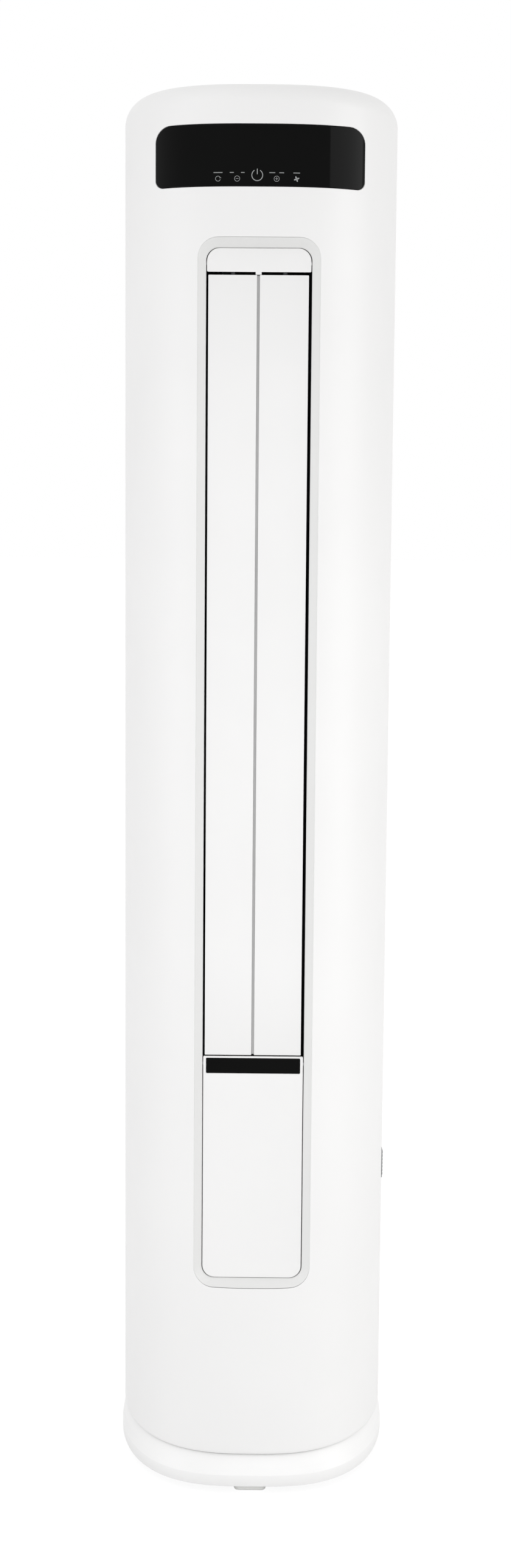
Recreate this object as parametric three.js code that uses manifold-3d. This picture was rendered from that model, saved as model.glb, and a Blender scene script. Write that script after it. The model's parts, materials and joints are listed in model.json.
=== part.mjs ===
// Floor-standing air conditioner, indoor unit: a tall rounded column with one long outlet in front.
// Two upright louvers close the outlet. Behind them lie tilting vanes, a cross-flow fan and a coil.
// Millimetres. +X is to the right seen from the front, +Y to the back, +Z up from the floor.
import * as THREE from "three";
import { mergeVertices } from "three/addons/utils/BufferGeometryUtils.js";
import Module from "manifold-3d";

const wasm = await Module();
wasm.setup();

// Column: two half super-ellipses that meet at the widest plane.
const HEIGHT = 1800;
const HALF_WIDTH = 176;
const WIDEST_Y = 38;
const FRONT_DEPTH = 216;
const REAR_DEPTH = 144;
const SIDE_POWER = 2.7;
const FRONT_POWER = 2;
const REAR_POWER = 3.2;
const SECTION_STEPS = 48;
const WALL = 3;
const TOP_RADIUS_FRONT = 22;
const TOP_RADIUS_SIDE = 34;
const TOP_LAND = 6;
const LID_THICKNESS = 3;
const SHELL_SPLIT_Y = 20;
const GAP = 0.3;
const BEYOND = 400;

// Plinth and feet.
const FOOT_HEIGHT = 10;
const FOOT_HALF_WIDTH = 21;
const FOOT_HALF_DEPTH = 20;
const FOOT_CORNER = 7;
const FOOT_SOCKET_RADIUS = 8;
const PLINTH_GROW_SIDE = 3;
const PLINTH_GROW_FRONT = 7;
const PLINTH_GROW_REAR = 3;
const PLINTH_SIDE_POWER = 3;
const PLINTH_BAND_TOP = 26;
const PLINTH_FLARE = 1.7;
const PLINTH_SHOULDER = 2;
const NECK_HEIGHT = 14;
const NECK_DEPTH = 5;
const DECK_TOP = 50;
const DECK_THICKNESS = 4;
const SHELL_BOTTOM = 51.6;

// Outlet frame, measured on the front of the column.
const FRAME_HALF_WIDTH = 75.5;
const FRAME_LOW = 278.6;
const FRAME_HIGH = 1616.8;
const FRAME_CORNER = 25;
const MOUTH_HALF_WIDTH = 65.2;
const MOUTH_LOW = 288;
const MOUTH_HIGH = 1604.6;
const MOUTH_CORNER = 16;
const FACE_Y = -162;
const COLLAR_BACK_Y = -146;
const COLLAR_WALL = 2.5;

// Louvers: two upright flat blades that turn about vertical pins.
const LOUVER_PITCH = 64.2;
const LOUVER_HALF_WIDTH = 30.4;
const LOUVER_LOW = 586.5;
const LOUVER_HIGH = 1571.9;
const LOUVER_PIN_RADIUS = 3;
const LOUVER_AXIS_BACK = 8;
const LOUVER_AXIS_Y = FACE_Y + LOUVER_AXIS_BACK;
const CRANK_REACH = 16;
const CRANK_ANGLE = THREE.MathUtils.degToRad(30);
const CRANK_PIN_RADIUS = 1.8;

// Fixed faces in the outlet frame.
const CAP_LOW = 1575.5;
const CAP_POST_HALF_WIDTH = 3.7;
const CAP_POST_X = -0.7;
const PANEL_TOP = 583.5;
const STRIP_HALF_WIDTH = 60.4;
const STRIP_LOW = 562.5;
const STRIP_HIGH = 582.2;
const STRIP_DEPTH = 1.2;

// Display.
const DISPLAY_HALF_WIDTH = 129.6;
const DISPLAY_LOW = 1677;
const DISPLAY_HIGH = 1751;
const DISPLAY_TOP_CORNER = 19.5;
const DISPLAY_LOW_CORNER = 10;
const BOARD_THICKNESS = 1.6;
const BOARD_HALF_WIDTH = 95;
const HOLDER_BACK_Y = -146;
const HOLDER_MARGIN = 8;

// Side catch, across the seam of the two shells.
const SIDE_CATCH_Z = 390;
const SIDE_CATCH_HALF_HEIGHT = 20;
const SIDE_CATCH_HALF_DEPTH = 7;
const SIDE_CATCH_FACE_X = HALF_WIDTH - 1.2;
const SIDE_CATCH_RIB_PITCH = 8;

// Back: pipe exit, cable gland and wall strap plate.
const PIPE_EXIT_HALF_WIDTH = 40;
const PIPE_EXIT_LOW = 84;
const PIPE_EXIT_HIGH = 150;
const PIPE_EXIT_CORNER = 12;
const GLAND_X = 75;
const GLAND_Z = 110;
const GLAND_RADIUS = 8.7;
const GLAND_BORE_RADIUS = 5;
const STRAP_PLATE_Z = 1710;
const STRAP_PLATE_HALF_WIDTH = 34;
const STRAP_PLATE_HALF_HEIGHT = 20;
const STRAP_SLOT_X = 20;

// Shelves, duct walls and vanes.
const LOWER_SHELF_Z = 572;
const UPPER_SHELF_Z = 1584;
const SHELF_THICKNESS = 4;
const DUCT_HALF_WIDTH = 62;
const DUCT_WALL = 3;
const VANE_COUNT = 10;
const VANE_FIRST_Z = 624;
const VANE_LAST_Z = 1542;
const VANE_AXIS_Y = -90;
const VANE_HALF_LENGTH = 60;
const VANE_HALF_CHORD = 22;
const VANE_PIN_RADIUS = 2;
const TIE_X = -48;
const TIE_REACH = 19;
const VANE_MOTOR_DEPTH = 19;
const DUCT_OUTER = DUCT_HALF_WIDTH + DUCT_WALL;

// Louver drive: a crank on each lower pin, just under the shelf, and a link below the cranks.
const CRANK_TOP = LOWER_SHELF_Z - GAP;
const CRANK_THICKNESS = 4.5;
const CRANK_PIN = [CRANK_REACH * Math.cos(CRANK_ANGLE), CRANK_REACH * Math.sin(CRANK_ANGLE)];
const LINK_TOP = CRANK_TOP - CRANK_THICKNESS - GAP;
const LINK_THICKNESS = 3.5;

// Frame posts.
const POST_X = 156;
const POST_Y = 42;
const POST_HALF_WIDTH = 12;
const POST_DEPTH = 10;
const POST_SHEET = 1.5;

// Fan, coil and inlet.
const FAN_Y = 10;
const FAN_RADIUS = 58;
const FAN_LOW = 590;
const FAN_HIGH = 1572;
const FAN_BLADES = 12;
const SHAFT_RADIUS = 4;
const MOTOR_TOP = LOWER_SHELF_Z - GAP;
const MOTOR_HEIGHT = 72;
const COIL_INNER = 104;
const COIL_OUTER = 134;
const COIL_LOW = 590;
const COIL_HIGH = 1572;
const COIL_START_DEGREES = 8;
const PAN_LOW = LOWER_SHELF_Z + SHELF_THICKNESS + GAP;
const PAN_FLOOR = 2;
const GAS_PIPE = { radius: 8, x: 112, y: -8, startZ: 660, exitX: -12, exitZ: 118 };
const LIQUID_PIPE = { radius: 5, x: 132, y: -8, startZ: 700, exitX: 20, exitZ: 112 };
const SPOUT = { radius: 8, x: -118, y: 24 };
const GRILLE_HALF_WIDTH = 116;
const GRILLE_LOW = 620;
const GRILLE_HIGH = 1545;
const GRILLE_COLUMNS = 13;
const GRILLE_ROWS = 4;
const FILTER_BACK_Y = 157;
const FILTER_DEPTH = 6;
const FILTER_HALF_WIDTH = 104;

// Electrics, behind the lower panel.
const BOX_HALF_WIDTH = 85;
const BOX_FRONT_Y = -60;
const BOX_BACK_Y = 36;
const BOX_TOP = 330;
const BOX_SHEET = 1.5;
const MAIN_BOARD_Y = BOX_BACK_Y - BOX_SHEET - 6;

// ---------------------------------------------------------------- solids

function toSolid(geometry) {
  const bare = geometry.clone();
  bare.deleteAttribute("normal");
  bare.deleteAttribute("uv");
  const merged = mergeVertices(bare, 1e-4);
  const mesh = new wasm.Mesh({
    numProp: 3,
    vertProperties: new Float32Array(merged.attributes.position.array),
    triVerts: new Uint32Array(merged.index.array),
  });
  return new wasm.Manifold(mesh);
}

function toGeometry(solid) {
  const mesh = solid.getMesh();
  const geometry = new THREE.BufferGeometry();
  geometry.setAttribute("position", new THREE.BufferAttribute(mesh.vertProperties, 3));
  geometry.setIndex(new THREE.BufferAttribute(mesh.triVerts, 1));
  geometry.computeVertexNormals();
  return geometry;
}

function join(...solids) {
  return solids.reduce((whole, next) => whole.add(next));
}

function cut(solid, ...tools) {
  return tools.reduce((rest, tool) => rest.subtract(tool), solid);
}

function block(x0, x1, y0, y1, z0, z1) {
  const geometry = new THREE.BoxGeometry(x1 - x0, y1 - y0, z1 - z0);
  geometry.translate((x0 + x1) / 2, (y0 + y1) / 2, (z0 + z1) / 2);
  return toSolid(geometry);
}

// Round bar along "x", "y" or "z", from one end coordinate to the other.
function bar(axis, radius, [a, b], from, to, sides = 16) {
  const geometry = new THREE.CylinderGeometry(radius, radius, to - from, sides);
  const middle = (from + to) / 2;
  if (axis === "x") {
    geometry.rotateZ(-Math.PI / 2);
    geometry.translate(middle, a, b);
  } else if (axis === "y") {
    geometry.translate(a, middle, b);
  } else {
    geometry.rotateX(Math.PI / 2);
    geometry.translate(a, b, middle);
  }
  return toSolid(geometry);
}

// Upright prism: a plan outline (x, y) between two heights.
function upright(shape, z0, z1, curveSegments = 3) {
  const settings = { depth: z1 - z0, bevelEnabled: false, curveSegments };
  const geometry = new THREE.ExtrudeGeometry(shape, settings);
  geometry.translate(0, 0, z0);
  return toSolid(geometry);
}

// Prism along Y: a front outline (x, z) between two depths.
function facing(shape, y0, y1, curveSegments = 3) {
  const settings = { depth: y1 - y0, bevelEnabled: false, curveSegments };
  const geometry = new THREE.ExtrudeGeometry(shape, settings);
  geometry.rotateX(Math.PI / 2);
  geometry.translate(0, y1, 0);
  return toSolid(geometry);
}

function outline(points) {
  return new THREE.Shape(points.map(([x, y]) => new THREE.Vector2(x, y)));
}

function roundedFront(halfWidth, low, high, lowCorner, highCorner) {
  const shape = new THREE.Shape();
  shape.moveTo(-halfWidth + lowCorner, low);
  shape.lineTo(halfWidth - lowCorner, low);
  shape.absarc(halfWidth - lowCorner, low + lowCorner, lowCorner, -Math.PI / 2, 0);
  shape.lineTo(halfWidth, high - highCorner);
  shape.absarc(halfWidth - highCorner, high - highCorner, highCorner, 0, Math.PI / 2);
  shape.lineTo(-halfWidth + highCorner, high);
  shape.absarc(-halfWidth + highCorner, high - highCorner, highCorner, Math.PI / 2, Math.PI);
  shape.lineTo(-halfWidth, low + lowCorner);
  shape.absarc(-halfWidth + lowCorner, low + lowCorner, lowCorner, Math.PI, Math.PI * 1.5);
  return shape;
}

// Bar outline with round ends between two plan points.
function capsule([x0, y0], [x1, y1], radius) {
  const heading = Math.atan2(y1 - y0, x1 - x0);
  const shape = new THREE.Shape();
  shape.absarc(x1, y1, radius, heading - Math.PI / 2, heading + Math.PI / 2);
  shape.absarc(x0, y0, radius, heading + Math.PI / 2, heading + Math.PI * 1.5);
  return shape;
}

function signedVolume(positions, index) {
  const [a, b, c] = [new THREE.Vector3(), new THREE.Vector3(), new THREE.Vector3()];
  let sum = 0;
  for (let i = 0; i < index.length; i += 3) {
    a.fromArray(positions, index[i] * 3);
    b.fromArray(positions, index[i + 1] * 3);
    c.fromArray(positions, index[i + 2] * 3);
    sum += a.dot(b.cross(c));
  }
  return sum / 6;
}

// Skin over rings of equal length. A looped stack closes on its first ring; an open one gets caps.
function skin(rings, looped) {
  const count = rings[0].length;
  const positions = rings.flat(2);
  const index = [];
  const last = looped ? rings.length : rings.length - 1;
  for (let j = 0; j < last; j++) {
    const low = j * count;
    const high = ((j + 1) % rings.length) * count;
    for (let i = 0; i < count; i++) {
      const next = (i + 1) % count;
      index.push(low + i, low + next, high + next);
      index.push(low + i, high + next, high + i);
    }
  }
  if (!looped) {
    capRing(positions, index, 0, count, true);
    capRing(positions, index, (rings.length - 1) * count, count, false);
  }
  if (signedVolume(positions, index) < 0) {
    for (let i = 0; i < index.length; i += 3) {
      [index[i + 1], index[i + 2]] = [index[i + 2], index[i + 1]];
    }
  }
  const geometry = new THREE.BufferGeometry();
  geometry.setAttribute("position", new THREE.Float32BufferAttribute(positions, 3));
  geometry.setIndex(index);
  return toSolid(geometry);
}

function capRing(positions, index, start, count, flipped) {
  const centre = new THREE.Vector3();
  const corner = new THREE.Vector3();
  for (let i = 0; i < count; i++) {
    centre.add(corner.fromArray(positions, (start + i) * 3));
  }
  centre.divideScalar(count);
  const hub = positions.length / 3;
  positions.push(centre.x, centre.y, centre.z);
  for (let i = 0; i < count; i++) {
    const [a, b] = [start + i, start + ((i + 1) % count)];
    index.push(hub, flipped ? b : a, flipped ? a : b);
  }
}

// ---------------------------------------------------------------- column sections

const raise = (value, power) => Math.sign(value) * Math.abs(value) ** (2 / power);

// One point of the plan section, drawn in by `inset`; angle 0 is the front centre.
function sectionPoint(angle, inset, grow = 0) {
  const front = Math.cos(angle) > 0;
  const sidePower = front ? THREE.MathUtils.lerp(SIDE_POWER, PLINTH_SIDE_POWER, grow) : REAR_POWER;
  const depthPower = front ? FRONT_POWER : REAR_POWER;
  const depth = front
    ? FRONT_DEPTH + grow * PLINTH_GROW_FRONT
    : REAR_DEPTH + grow * PLINTH_GROW_REAR;
  const halfWidth = HALF_WIDTH + grow * PLINTH_GROW_SIDE;
  const x = (halfWidth - inset) * raise(Math.sin(angle), sidePower);
  const y = WIDEST_Y - (depth - inset) * raise(Math.cos(angle), depthPower);
  return [x, y];
}

function sectionAngles() {
  return Array.from({ length: SECTION_STEPS }, (_, i) => (i / SECTION_STEPS) * 2 * Math.PI);
}

function sectionRing(inset, z, grow = 0) {
  return sectionAngles().map((angle) => [...sectionPoint(angle, inset, grow), z]);
}

function sectionShape(inset) {
  return outline(sectionAngles().map((angle) => sectionPoint(angle, inset)));
}

// Y of the column's front surface at a given x.
function frontY(x, inset = 0) {
  const across = Math.abs(x / (HALF_WIDTH - inset)) ** SIDE_POWER;
  return WIDEST_Y - (FRONT_DEPTH - inset) * (1 - across) ** (1 / FRONT_POWER);
}

function rearY(x, inset = 0) {
  const across = Math.abs(x / (HALF_WIDTH - inset)) ** REAR_POWER;
  return WIDEST_Y + (REAR_DEPTH - inset) * (1 - across) ** (1 / REAR_POWER);
}

// The rounded top edge is tighter at the front than at the sides.
function topRadius(angle) {
  return THREE.MathUtils.lerp(TOP_RADIUS_FRONT, TOP_RADIUS_SIDE, Math.sin(angle) ** 2);
}

function topRing(turn, inset, drop) {
  return sectionAngles().map((angle) => {
    const radius = topRadius(angle);
    const inward = inset + (radius - inset) * (1 - Math.cos(turn));
    const z = HEIGHT - drop - (radius - drop) * (1 - Math.sin(turn));
    return [...sectionPoint(angle, inward), z];
  });
}

function landRing(extra, z) {
  return sectionAngles().map((angle) => [...sectionPoint(angle, topRadius(angle) + extra), z]);
}

// Hollow column with its rounded top edge and a ledge that the lid lies on.
function columnShell() {
  const ledgeZ = HEIGHT - LID_THICKNESS - GAP;
  const ledgeThickness = 3;
  const turns = [0, 0.25, 0.5, 0.75, 1].map((part) => (part * Math.PI) / 2);
  const outside = turns.map((turn) => topRing(turn, 0, 0));
  const insideDrop = HEIGHT - ledgeZ + ledgeThickness;
  const inside = [...turns].reverse().map((turn) => topRing(turn, WALL, insideDrop));
  const rings = [
    sectionRing(0, SHELL_BOTTOM),
    ...outside,
    landRing(TOP_LAND, HEIGHT),
    landRing(TOP_LAND, ledgeZ),
    landRing(2 * TOP_LAND, ledgeZ),
    landRing(2 * TOP_LAND, ledgeZ - ledgeThickness),
    ...inside,
    sectionRing(WALL, SHELL_BOTTOM),
  ];
  return skin(rings, true);
}

// Part of the column's wall between two insets and two heights.
function wallBand(outer, inner, z0, z1) {
  const rings = [
    sectionRing(outer, z0),
    sectionRing(outer, z1),
    sectionRing(inner, z1),
    sectionRing(inner, z0),
  ];
  return skin(rings, true);
}

// ---------------------------------------------------------------- outside

function catchPocket() {
  const depth = SIDE_CATCH_HALF_DEPTH + GAP;
  const height = SIDE_CATCH_HALF_HEIGHT + GAP;
  const [low, high] = [SIDE_CATCH_Z - height, SIDE_CATCH_Z + height];
  return block(160, BEYOND, SHELL_SPLIT_Y - depth, SHELL_SPLIT_Y + depth, low, high);
}

function frontCover(shell) {
  const half = block(-BEYOND, BEYOND, -BEYOND, SHELL_SPLIT_Y - GAP / 2, 0, HEIGHT + 1);
  const mouth = roundedFront(
    FRAME_HALF_WIDTH + GAP,
    FRAME_LOW - GAP,
    FRAME_HIGH + GAP,
    FRAME_CORNER,
    FRAME_CORNER,
  );
  const display = roundedFront(
    DISPLAY_HALF_WIDTH + GAP,
    DISPLAY_LOW - GAP,
    DISPLAY_HIGH + GAP,
    DISPLAY_LOW_CORNER,
    DISPLAY_TOP_CORNER,
  );
  const cover = shell.intersect(half);
  return cut(cover, facing(mouth, -BEYOND, -60), facing(display, -BEYOND, -60), catchPocket());
}

function rearHousing(shell) {
  const half = block(-BEYOND, BEYOND, SHELL_SPLIT_Y + GAP / 2, BEYOND, 0, HEIGHT + 1);
  const clearance = 1;
  const door = block(
    -GRILLE_HALF_WIDTH - clearance,
    GRILLE_HALF_WIDTH + clearance,
    60,
    BEYOND,
    GRILLE_LOW - clearance,
    GRILLE_HIGH + clearance,
  );
  const pipes = roundedFront(
    PIPE_EXIT_HALF_WIDTH,
    PIPE_EXIT_LOW,
    PIPE_EXIT_HIGH,
    PIPE_EXIT_CORNER,
    PIPE_EXIT_CORNER,
  );
  const gland = bar("y", GLAND_RADIUS + GAP, [GLAND_X, GLAND_Z], 100, BEYOND);
  return cut(shell.intersect(half), door, facing(pipes, 60, BEYOND), gland, catchPocket());
}

function topCover() {
  const z = HEIGHT - LID_THICKNESS;
  return skin([landRing(TOP_LAND + GAP, z), landRing(TOP_LAND + GAP, HEIGHT)], false);
}

// How far the plinth's neck draws in under the column's lower edge at a given height.
function neckInset(z) {
  return NECK_DEPTH * Math.max(0, (z - DECK_TOP) / NECK_HEIGHT + 1) ** 1.5;
}

// Foot ring: an upright band, a hollow flare, a neck under the column and a deck with a sloped shoulder.
function basePlinth() {
  const underside = DECK_TOP - DECK_THICKNESS;
  const shoulder = DECK_TOP - PLINTH_SHOULDER;
  const slope = [0.8, 0.6, 0.45, 0.3, 0.2].map((drop) => {
    const z = THREE.MathUtils.lerp(DECK_TOP, PLINTH_BAND_TOP, drop);
    return sectionRing(neckInset(z), z, drop ** PLINTH_FLARE);
  });
  const rings = [
    sectionRing(2 * WALL + NECK_DEPTH, underside, 0.5),
    sectionRing(WALL, FOOT_HEIGHT, 1),
    sectionRing(0, FOOT_HEIGHT, 1),
    sectionRing(0, PLINTH_BAND_TOP, 1),
    ...slope,
    sectionRing(neckInset(shoulder), shoulder, 0),
    sectionRing(NECK_DEPTH + PLINTH_SHOULDER, DECK_TOP, 0),
  ];
  return skin(rings, false);
}

// Rubber pad with rounded corners, and a socket that reaches up to the underside of the plinth's deck.
function foot(x, y) {
  const stemTop = DECK_TOP - DECK_THICKNESS - GAP;
  const padTop = FOOT_HEIGHT - GAP;
  const sole = roundedFront(FOOT_HALF_WIDTH, -FOOT_HALF_DEPTH, FOOT_HALF_DEPTH, FOOT_CORNER, FOOT_CORNER);
  const socket = bar("z", FOOT_SOCKET_RADIUS, [0, 0], padTop - 1, stemTop);
  return join(upright(sole, 0, padTop, 4), socket).translate([x, y, 0]);
}

// Loop of (x, z) points round an upright rounded rectangle, with extra points on its short edges.
function frameLoop(halfWidth, low, high, corner) {
  const edgeSteps = 6;
  const cornerSteps = 5;
  const points = [];
  const edge = (from, to, z) => {
    for (let i = 0; i < edgeSteps; i++) {
      points.push([THREE.MathUtils.lerp(from, to, i / edgeSteps), z]);
    }
  };
  const arc = (x, z, start) => {
    for (let i = 0; i < cornerSteps; i++) {
      const turn = start - ((i / cornerSteps) * Math.PI) / 2;
      points.push([x + corner * Math.cos(turn), z + corner * Math.sin(turn)]);
    }
  };
  const [x, top, bottom] = [halfWidth - corner, high - corner, low + corner];
  edge(-x, x, high);
  arc(x, top, Math.PI / 2);
  points.push([halfWidth, top]);
  arc(x, bottom, 0);
  edge(x, -x, low);
  arc(-x, bottom, -Math.PI / 2);
  points.push([-halfWidth, bottom]);
  arc(-x, top, Math.PI);
  return points;
}

// Sloping frame round the outlet: its rim follows the column, its inner edge lies in one plane.
function outletSurround() {
  const rim = frameLoop(FRAME_HALF_WIDTH, FRAME_LOW, FRAME_HIGH, FRAME_CORNER);
  const mouth = frameLoop(MOUTH_HALF_WIDTH, MOUTH_LOW, MOUTH_HIGH, MOUTH_CORNER);
  const collar = frameLoop(
    MOUTH_HALF_WIDTH + COLLAR_WALL,
    MOUTH_LOW - COLLAR_WALL,
    MOUTH_HIGH + COLLAR_WALL,
    MOUTH_CORNER + COLLAR_WALL,
  );
  const onColumn = (loop, back) => loop.map(([x, z]) => [x, frontY(x) + back, z]);
  const onPlane = (loop, y) => loop.map(([x, z]) => [x, y, z]);
  const rings = [
    onColumn(rim, GAP),
    onPlane(mouth, FACE_Y),
    onPlane(mouth, COLLAR_BACK_Y),
    onPlane(collar, COLLAR_BACK_Y),
    onPlane(collar, FACE_Y + WALL),
    onColumn(rim, 2 * WALL),
  ];
  return skin(rings, true);
}

function outletCap() {
  const reach = MOUTH_HALF_WIDTH - GAP;
  const face = roundedFront(reach, CAP_LOW, MOUTH_HIGH - GAP, 0.5, MOUTH_CORNER - GAP);
  const plate = facing(face, FACE_Y, FACE_Y + WALL);
  const [left, right] = [CAP_POST_X - CAP_POST_HALF_WIDTH, CAP_POST_X + CAP_POST_HALF_WIDTH];
  const post = block(left, right, FACE_Y, FACE_Y + WALL, LOUVER_HIGH + GAP, CAP_LOW + 1);
  return join(plate, post);
}

function lowerPanel() {
  const halfWidth = MOUTH_HALF_WIDTH - GAP;
  const face = roundedFront(halfWidth, MOUTH_LOW + GAP, PANEL_TOP, MOUTH_CORNER - GAP, 0.5);
  const plate = facing(face, FACE_Y, FACE_Y + WALL);
  const [low, high] = [STRIP_LOW - GAP, STRIP_HIGH + GAP];
  const reach = STRIP_HALF_WIDTH + GAP;
  return cut(plate, block(-reach, reach, FACE_Y - 1, FACE_Y + STRIP_DEPTH + GAP, low, high));
}

function trimStrip() {
  const face = roundedFront(STRIP_HALF_WIDTH, STRIP_LOW, STRIP_HIGH, 1, 1);
  return facing(face, FACE_Y - GAP, FACE_Y + STRIP_DEPTH);
}

function displayWindow() {
  const face = roundedFront(
    DISPLAY_HALF_WIDTH,
    DISPLAY_LOW,
    DISPLAY_HIGH,
    DISPLAY_LOW_CORNER,
    DISPLAY_TOP_CORNER,
  );
  const band = wallBand(GAP, WALL - GAP, DISPLAY_LOW - WALL, DISPLAY_HIGH + WALL);
  return band.intersect(facing(face, -BEYOND, -60));
}

// Tray behind the display: its front follows the cover, its back is flat and carries the board.
function displayHolder() {
  const [low, high] = [DISPLAY_LOW - HOLDER_MARGIN, DISPLAY_HIGH + HOLDER_MARGIN];
  const inside = upright(sectionShape(WALL + GAP), low, high);
  const slab = block(-BEYOND, BEYOND, -BEYOND, HOLDER_BACK_Y, low, high);
  const pocket = block(
    -BOARD_HALF_WIDTH - 2,
    BOARD_HALF_WIDTH + 2,
    -BEYOND,
    HOLDER_BACK_Y - WALL,
    DISPLAY_LOW,
    DISPLAY_HIGH,
  );
  return cut(inside.intersect(slab), pocket);
}

function displayBoard() {
  const back = HOLDER_BACK_Y - WALL - GAP;
  const [low, high] = [DISPLAY_LOW + 3, DISPLAY_HIGH - 3];
  const board = block(-BOARD_HALF_WIDTH, BOARD_HALF_WIDTH, back - BOARD_THICKNESS, back, low, high);
  const digits = block(-28, 28, back - 9, back - 1, low + 32, high - 8);
  return join(board, digits);
}

function sideCatch() {
  const [depth, height] = [SIDE_CATCH_HALF_DEPTH, SIDE_CATCH_HALF_HEIGHT];
  const [low, high] = [SIDE_CATCH_Z - height, SIDE_CATCH_Z + height];
  const face = SIDE_CATCH_FACE_X;
  const [front, back] = [SHELL_SPLIT_Y - depth, SHELL_SPLIT_Y + depth];
  const button = block(face - 8, face, front, back, low, high);
  const ribs = [-1.5, -0.5, 0.5, 1.5].map((step) => {
    const middle = SIDE_CATCH_Z + step * SIDE_CATCH_RIB_PITCH;
    return block(face - 2, face + 0.8, front + 2, back - 2, middle - 1.5, middle + 1.5);
  });
  return join(button, ...ribs);
}

function cableGland() {
  const wallY = rearY(GLAND_X);
  const sleeve = bar("y", GLAND_RADIUS, [GLAND_X, GLAND_Z], wallY - 14, wallY + 3);
  const flange = bar("y", GLAND_RADIUS + 3.3, [GLAND_X, GLAND_Z], wallY + 1.8, wallY + 5);
  const nut = bar("y", GLAND_RADIUS + 3.3, [GLAND_X, GLAND_Z], wallY - 12, wallY - 7, 6);
  const bore = bar("y", GLAND_BORE_RADIUS, [GLAND_X, GLAND_Z], 100, BEYOND, 12);
  return cut(join(sleeve, flange, nut), bore);
}

// Plate on the back that a wall strap screws to, so that the column cannot tip.
function tipBracket() {
  const y = WIDEST_Y + REAR_DEPTH + GAP;
  const [low, high] = [STRAP_PLATE_Z - STRAP_PLATE_HALF_HEIGHT, STRAP_PLATE_Z + STRAP_PLATE_HALF_HEIGHT];
  const plate = facing(roundedFront(STRAP_PLATE_HALF_WIDTH, low, high, 5, 5), y, y + 2);
  const slots = [-STRAP_SLOT_X, STRAP_SLOT_X].map((x) => {
    const slot = capsule([x - 4, STRAP_PLATE_Z], [x + 4, STRAP_PLATE_Z], 3);
    return facing(slot, y - 1, y + 3);
  });
  return cut(plate, ...slots);
}

// ---------------------------------------------------------------- outlet

function louverPlate() {
  const reach = LOUVER_HALF_WIDTH;
  const face = -LOUVER_AXIS_BACK;
  const shape = new THREE.Shape();
  shape.moveTo(-reach, face + 0.8);
  shape.lineTo(-reach + 0.8, face);
  shape.lineTo(reach - 0.8, face);
  shape.lineTo(reach, face + 0.8);
  shape.lineTo(reach, face + 3);
  shape.quadraticCurveTo(0, face + 9, -reach, face + 3);
  return upright(shape, LOUVER_LOW, LOUVER_HIGH, 8);
}

// Louver about its own vertical axis: the plate, a block at each end, and the two pins.
function louver(pinLow, pinHigh, lip) {
  const blockHeight = 12;
  const ends = [LOUVER_LOW, LOUVER_HIGH - blockHeight].map((z) =>
    block(-8, 8, 1 - LOUVER_AXIS_BACK, 4, z, z + blockHeight),
  );
  const pins = [
    bar("z", LOUVER_PIN_RADIUS, [0, 0], pinLow, LOUVER_LOW + 4, 12),
    bar("z", LOUVER_PIN_RADIUS, [0, 0], LOUVER_HIGH - 4, pinHigh, 12),
  ];
  const solid = join(louverPlate(), ...ends, ...pins);
  if (!lip) {
    return solid;
  }
  const lipFront = 3.8 - LOUVER_AXIS_BACK;
  const reach = LOUVER_HALF_WIDTH + 5.2;
  return join(solid, block(20, reach, lipFront, lipFront + 1.3, LOUVER_LOW, LOUVER_HIGH));
}

function crank() {
  const arm = upright(capsule([0, 0], CRANK_PIN, 4.6), CRANK_TOP - CRANK_THICKNESS, CRANK_TOP);
  const bore = bar("z", LOUVER_PIN_RADIUS + GAP, [0, 0], 0, BEYOND * 2, 12);
  const pinLow = LINK_TOP - LINK_THICKNESS - 1;
  const pin = bar("z", CRANK_PIN_RADIUS, CRANK_PIN, pinLow, CRANK_TOP - 1, 10);
  return join(cut(arm, bore), pin);
}

// Link below the shelf that keeps both louvers at one angle.
function louverLink() {
  const ends = [-1, 1].map((side) => {
    const axisX = (side * LOUVER_PITCH) / 2;
    return [axisX + CRANK_PIN[0], LOUVER_AXIS_Y + CRANK_PIN[1]];
  });
  const strap = upright(capsule(ends[0], ends[1], 4), LINK_TOP - LINK_THICKNESS, LINK_TOP);
  const holes = ends.map((end) => bar("z", CRANK_PIN_RADIUS + GAP, end, 0, BEYOND * 2, 10));
  return cut(strap, ...holes);
}

function louverMotor() {
  const low = UPPER_SHELF_Z + SHELF_THICKNESS + GAP;
  const axis = [-LOUVER_PITCH / 2, LOUVER_AXIS_Y];
  const middle = [axis[0], axis[1] + 8];
  const can = bar("z", 12, middle, low, low + 15, 24);
  const [leftEar, rightEar] = [-15, 15].map((x) => [middle[0] + x, middle[1]]);
  const ears = upright(capsule(leftEar, rightEar, 4), low, low + 1.5);
  const [x, y] = middle;
  const cableBox = block(x - 7, x + 7, y + 8, y + 16, low, low + 12);
  const bore = bar("z", LOUVER_PIN_RADIUS + GAP, axis, low - 1, low + 11, 12);
  return cut(join(can, ears, cableBox), bore);
}

const vaneZ = (i) => THREE.MathUtils.lerp(VANE_FIRST_Z, VANE_LAST_Z, i / (VANE_COUNT - 1));

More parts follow.
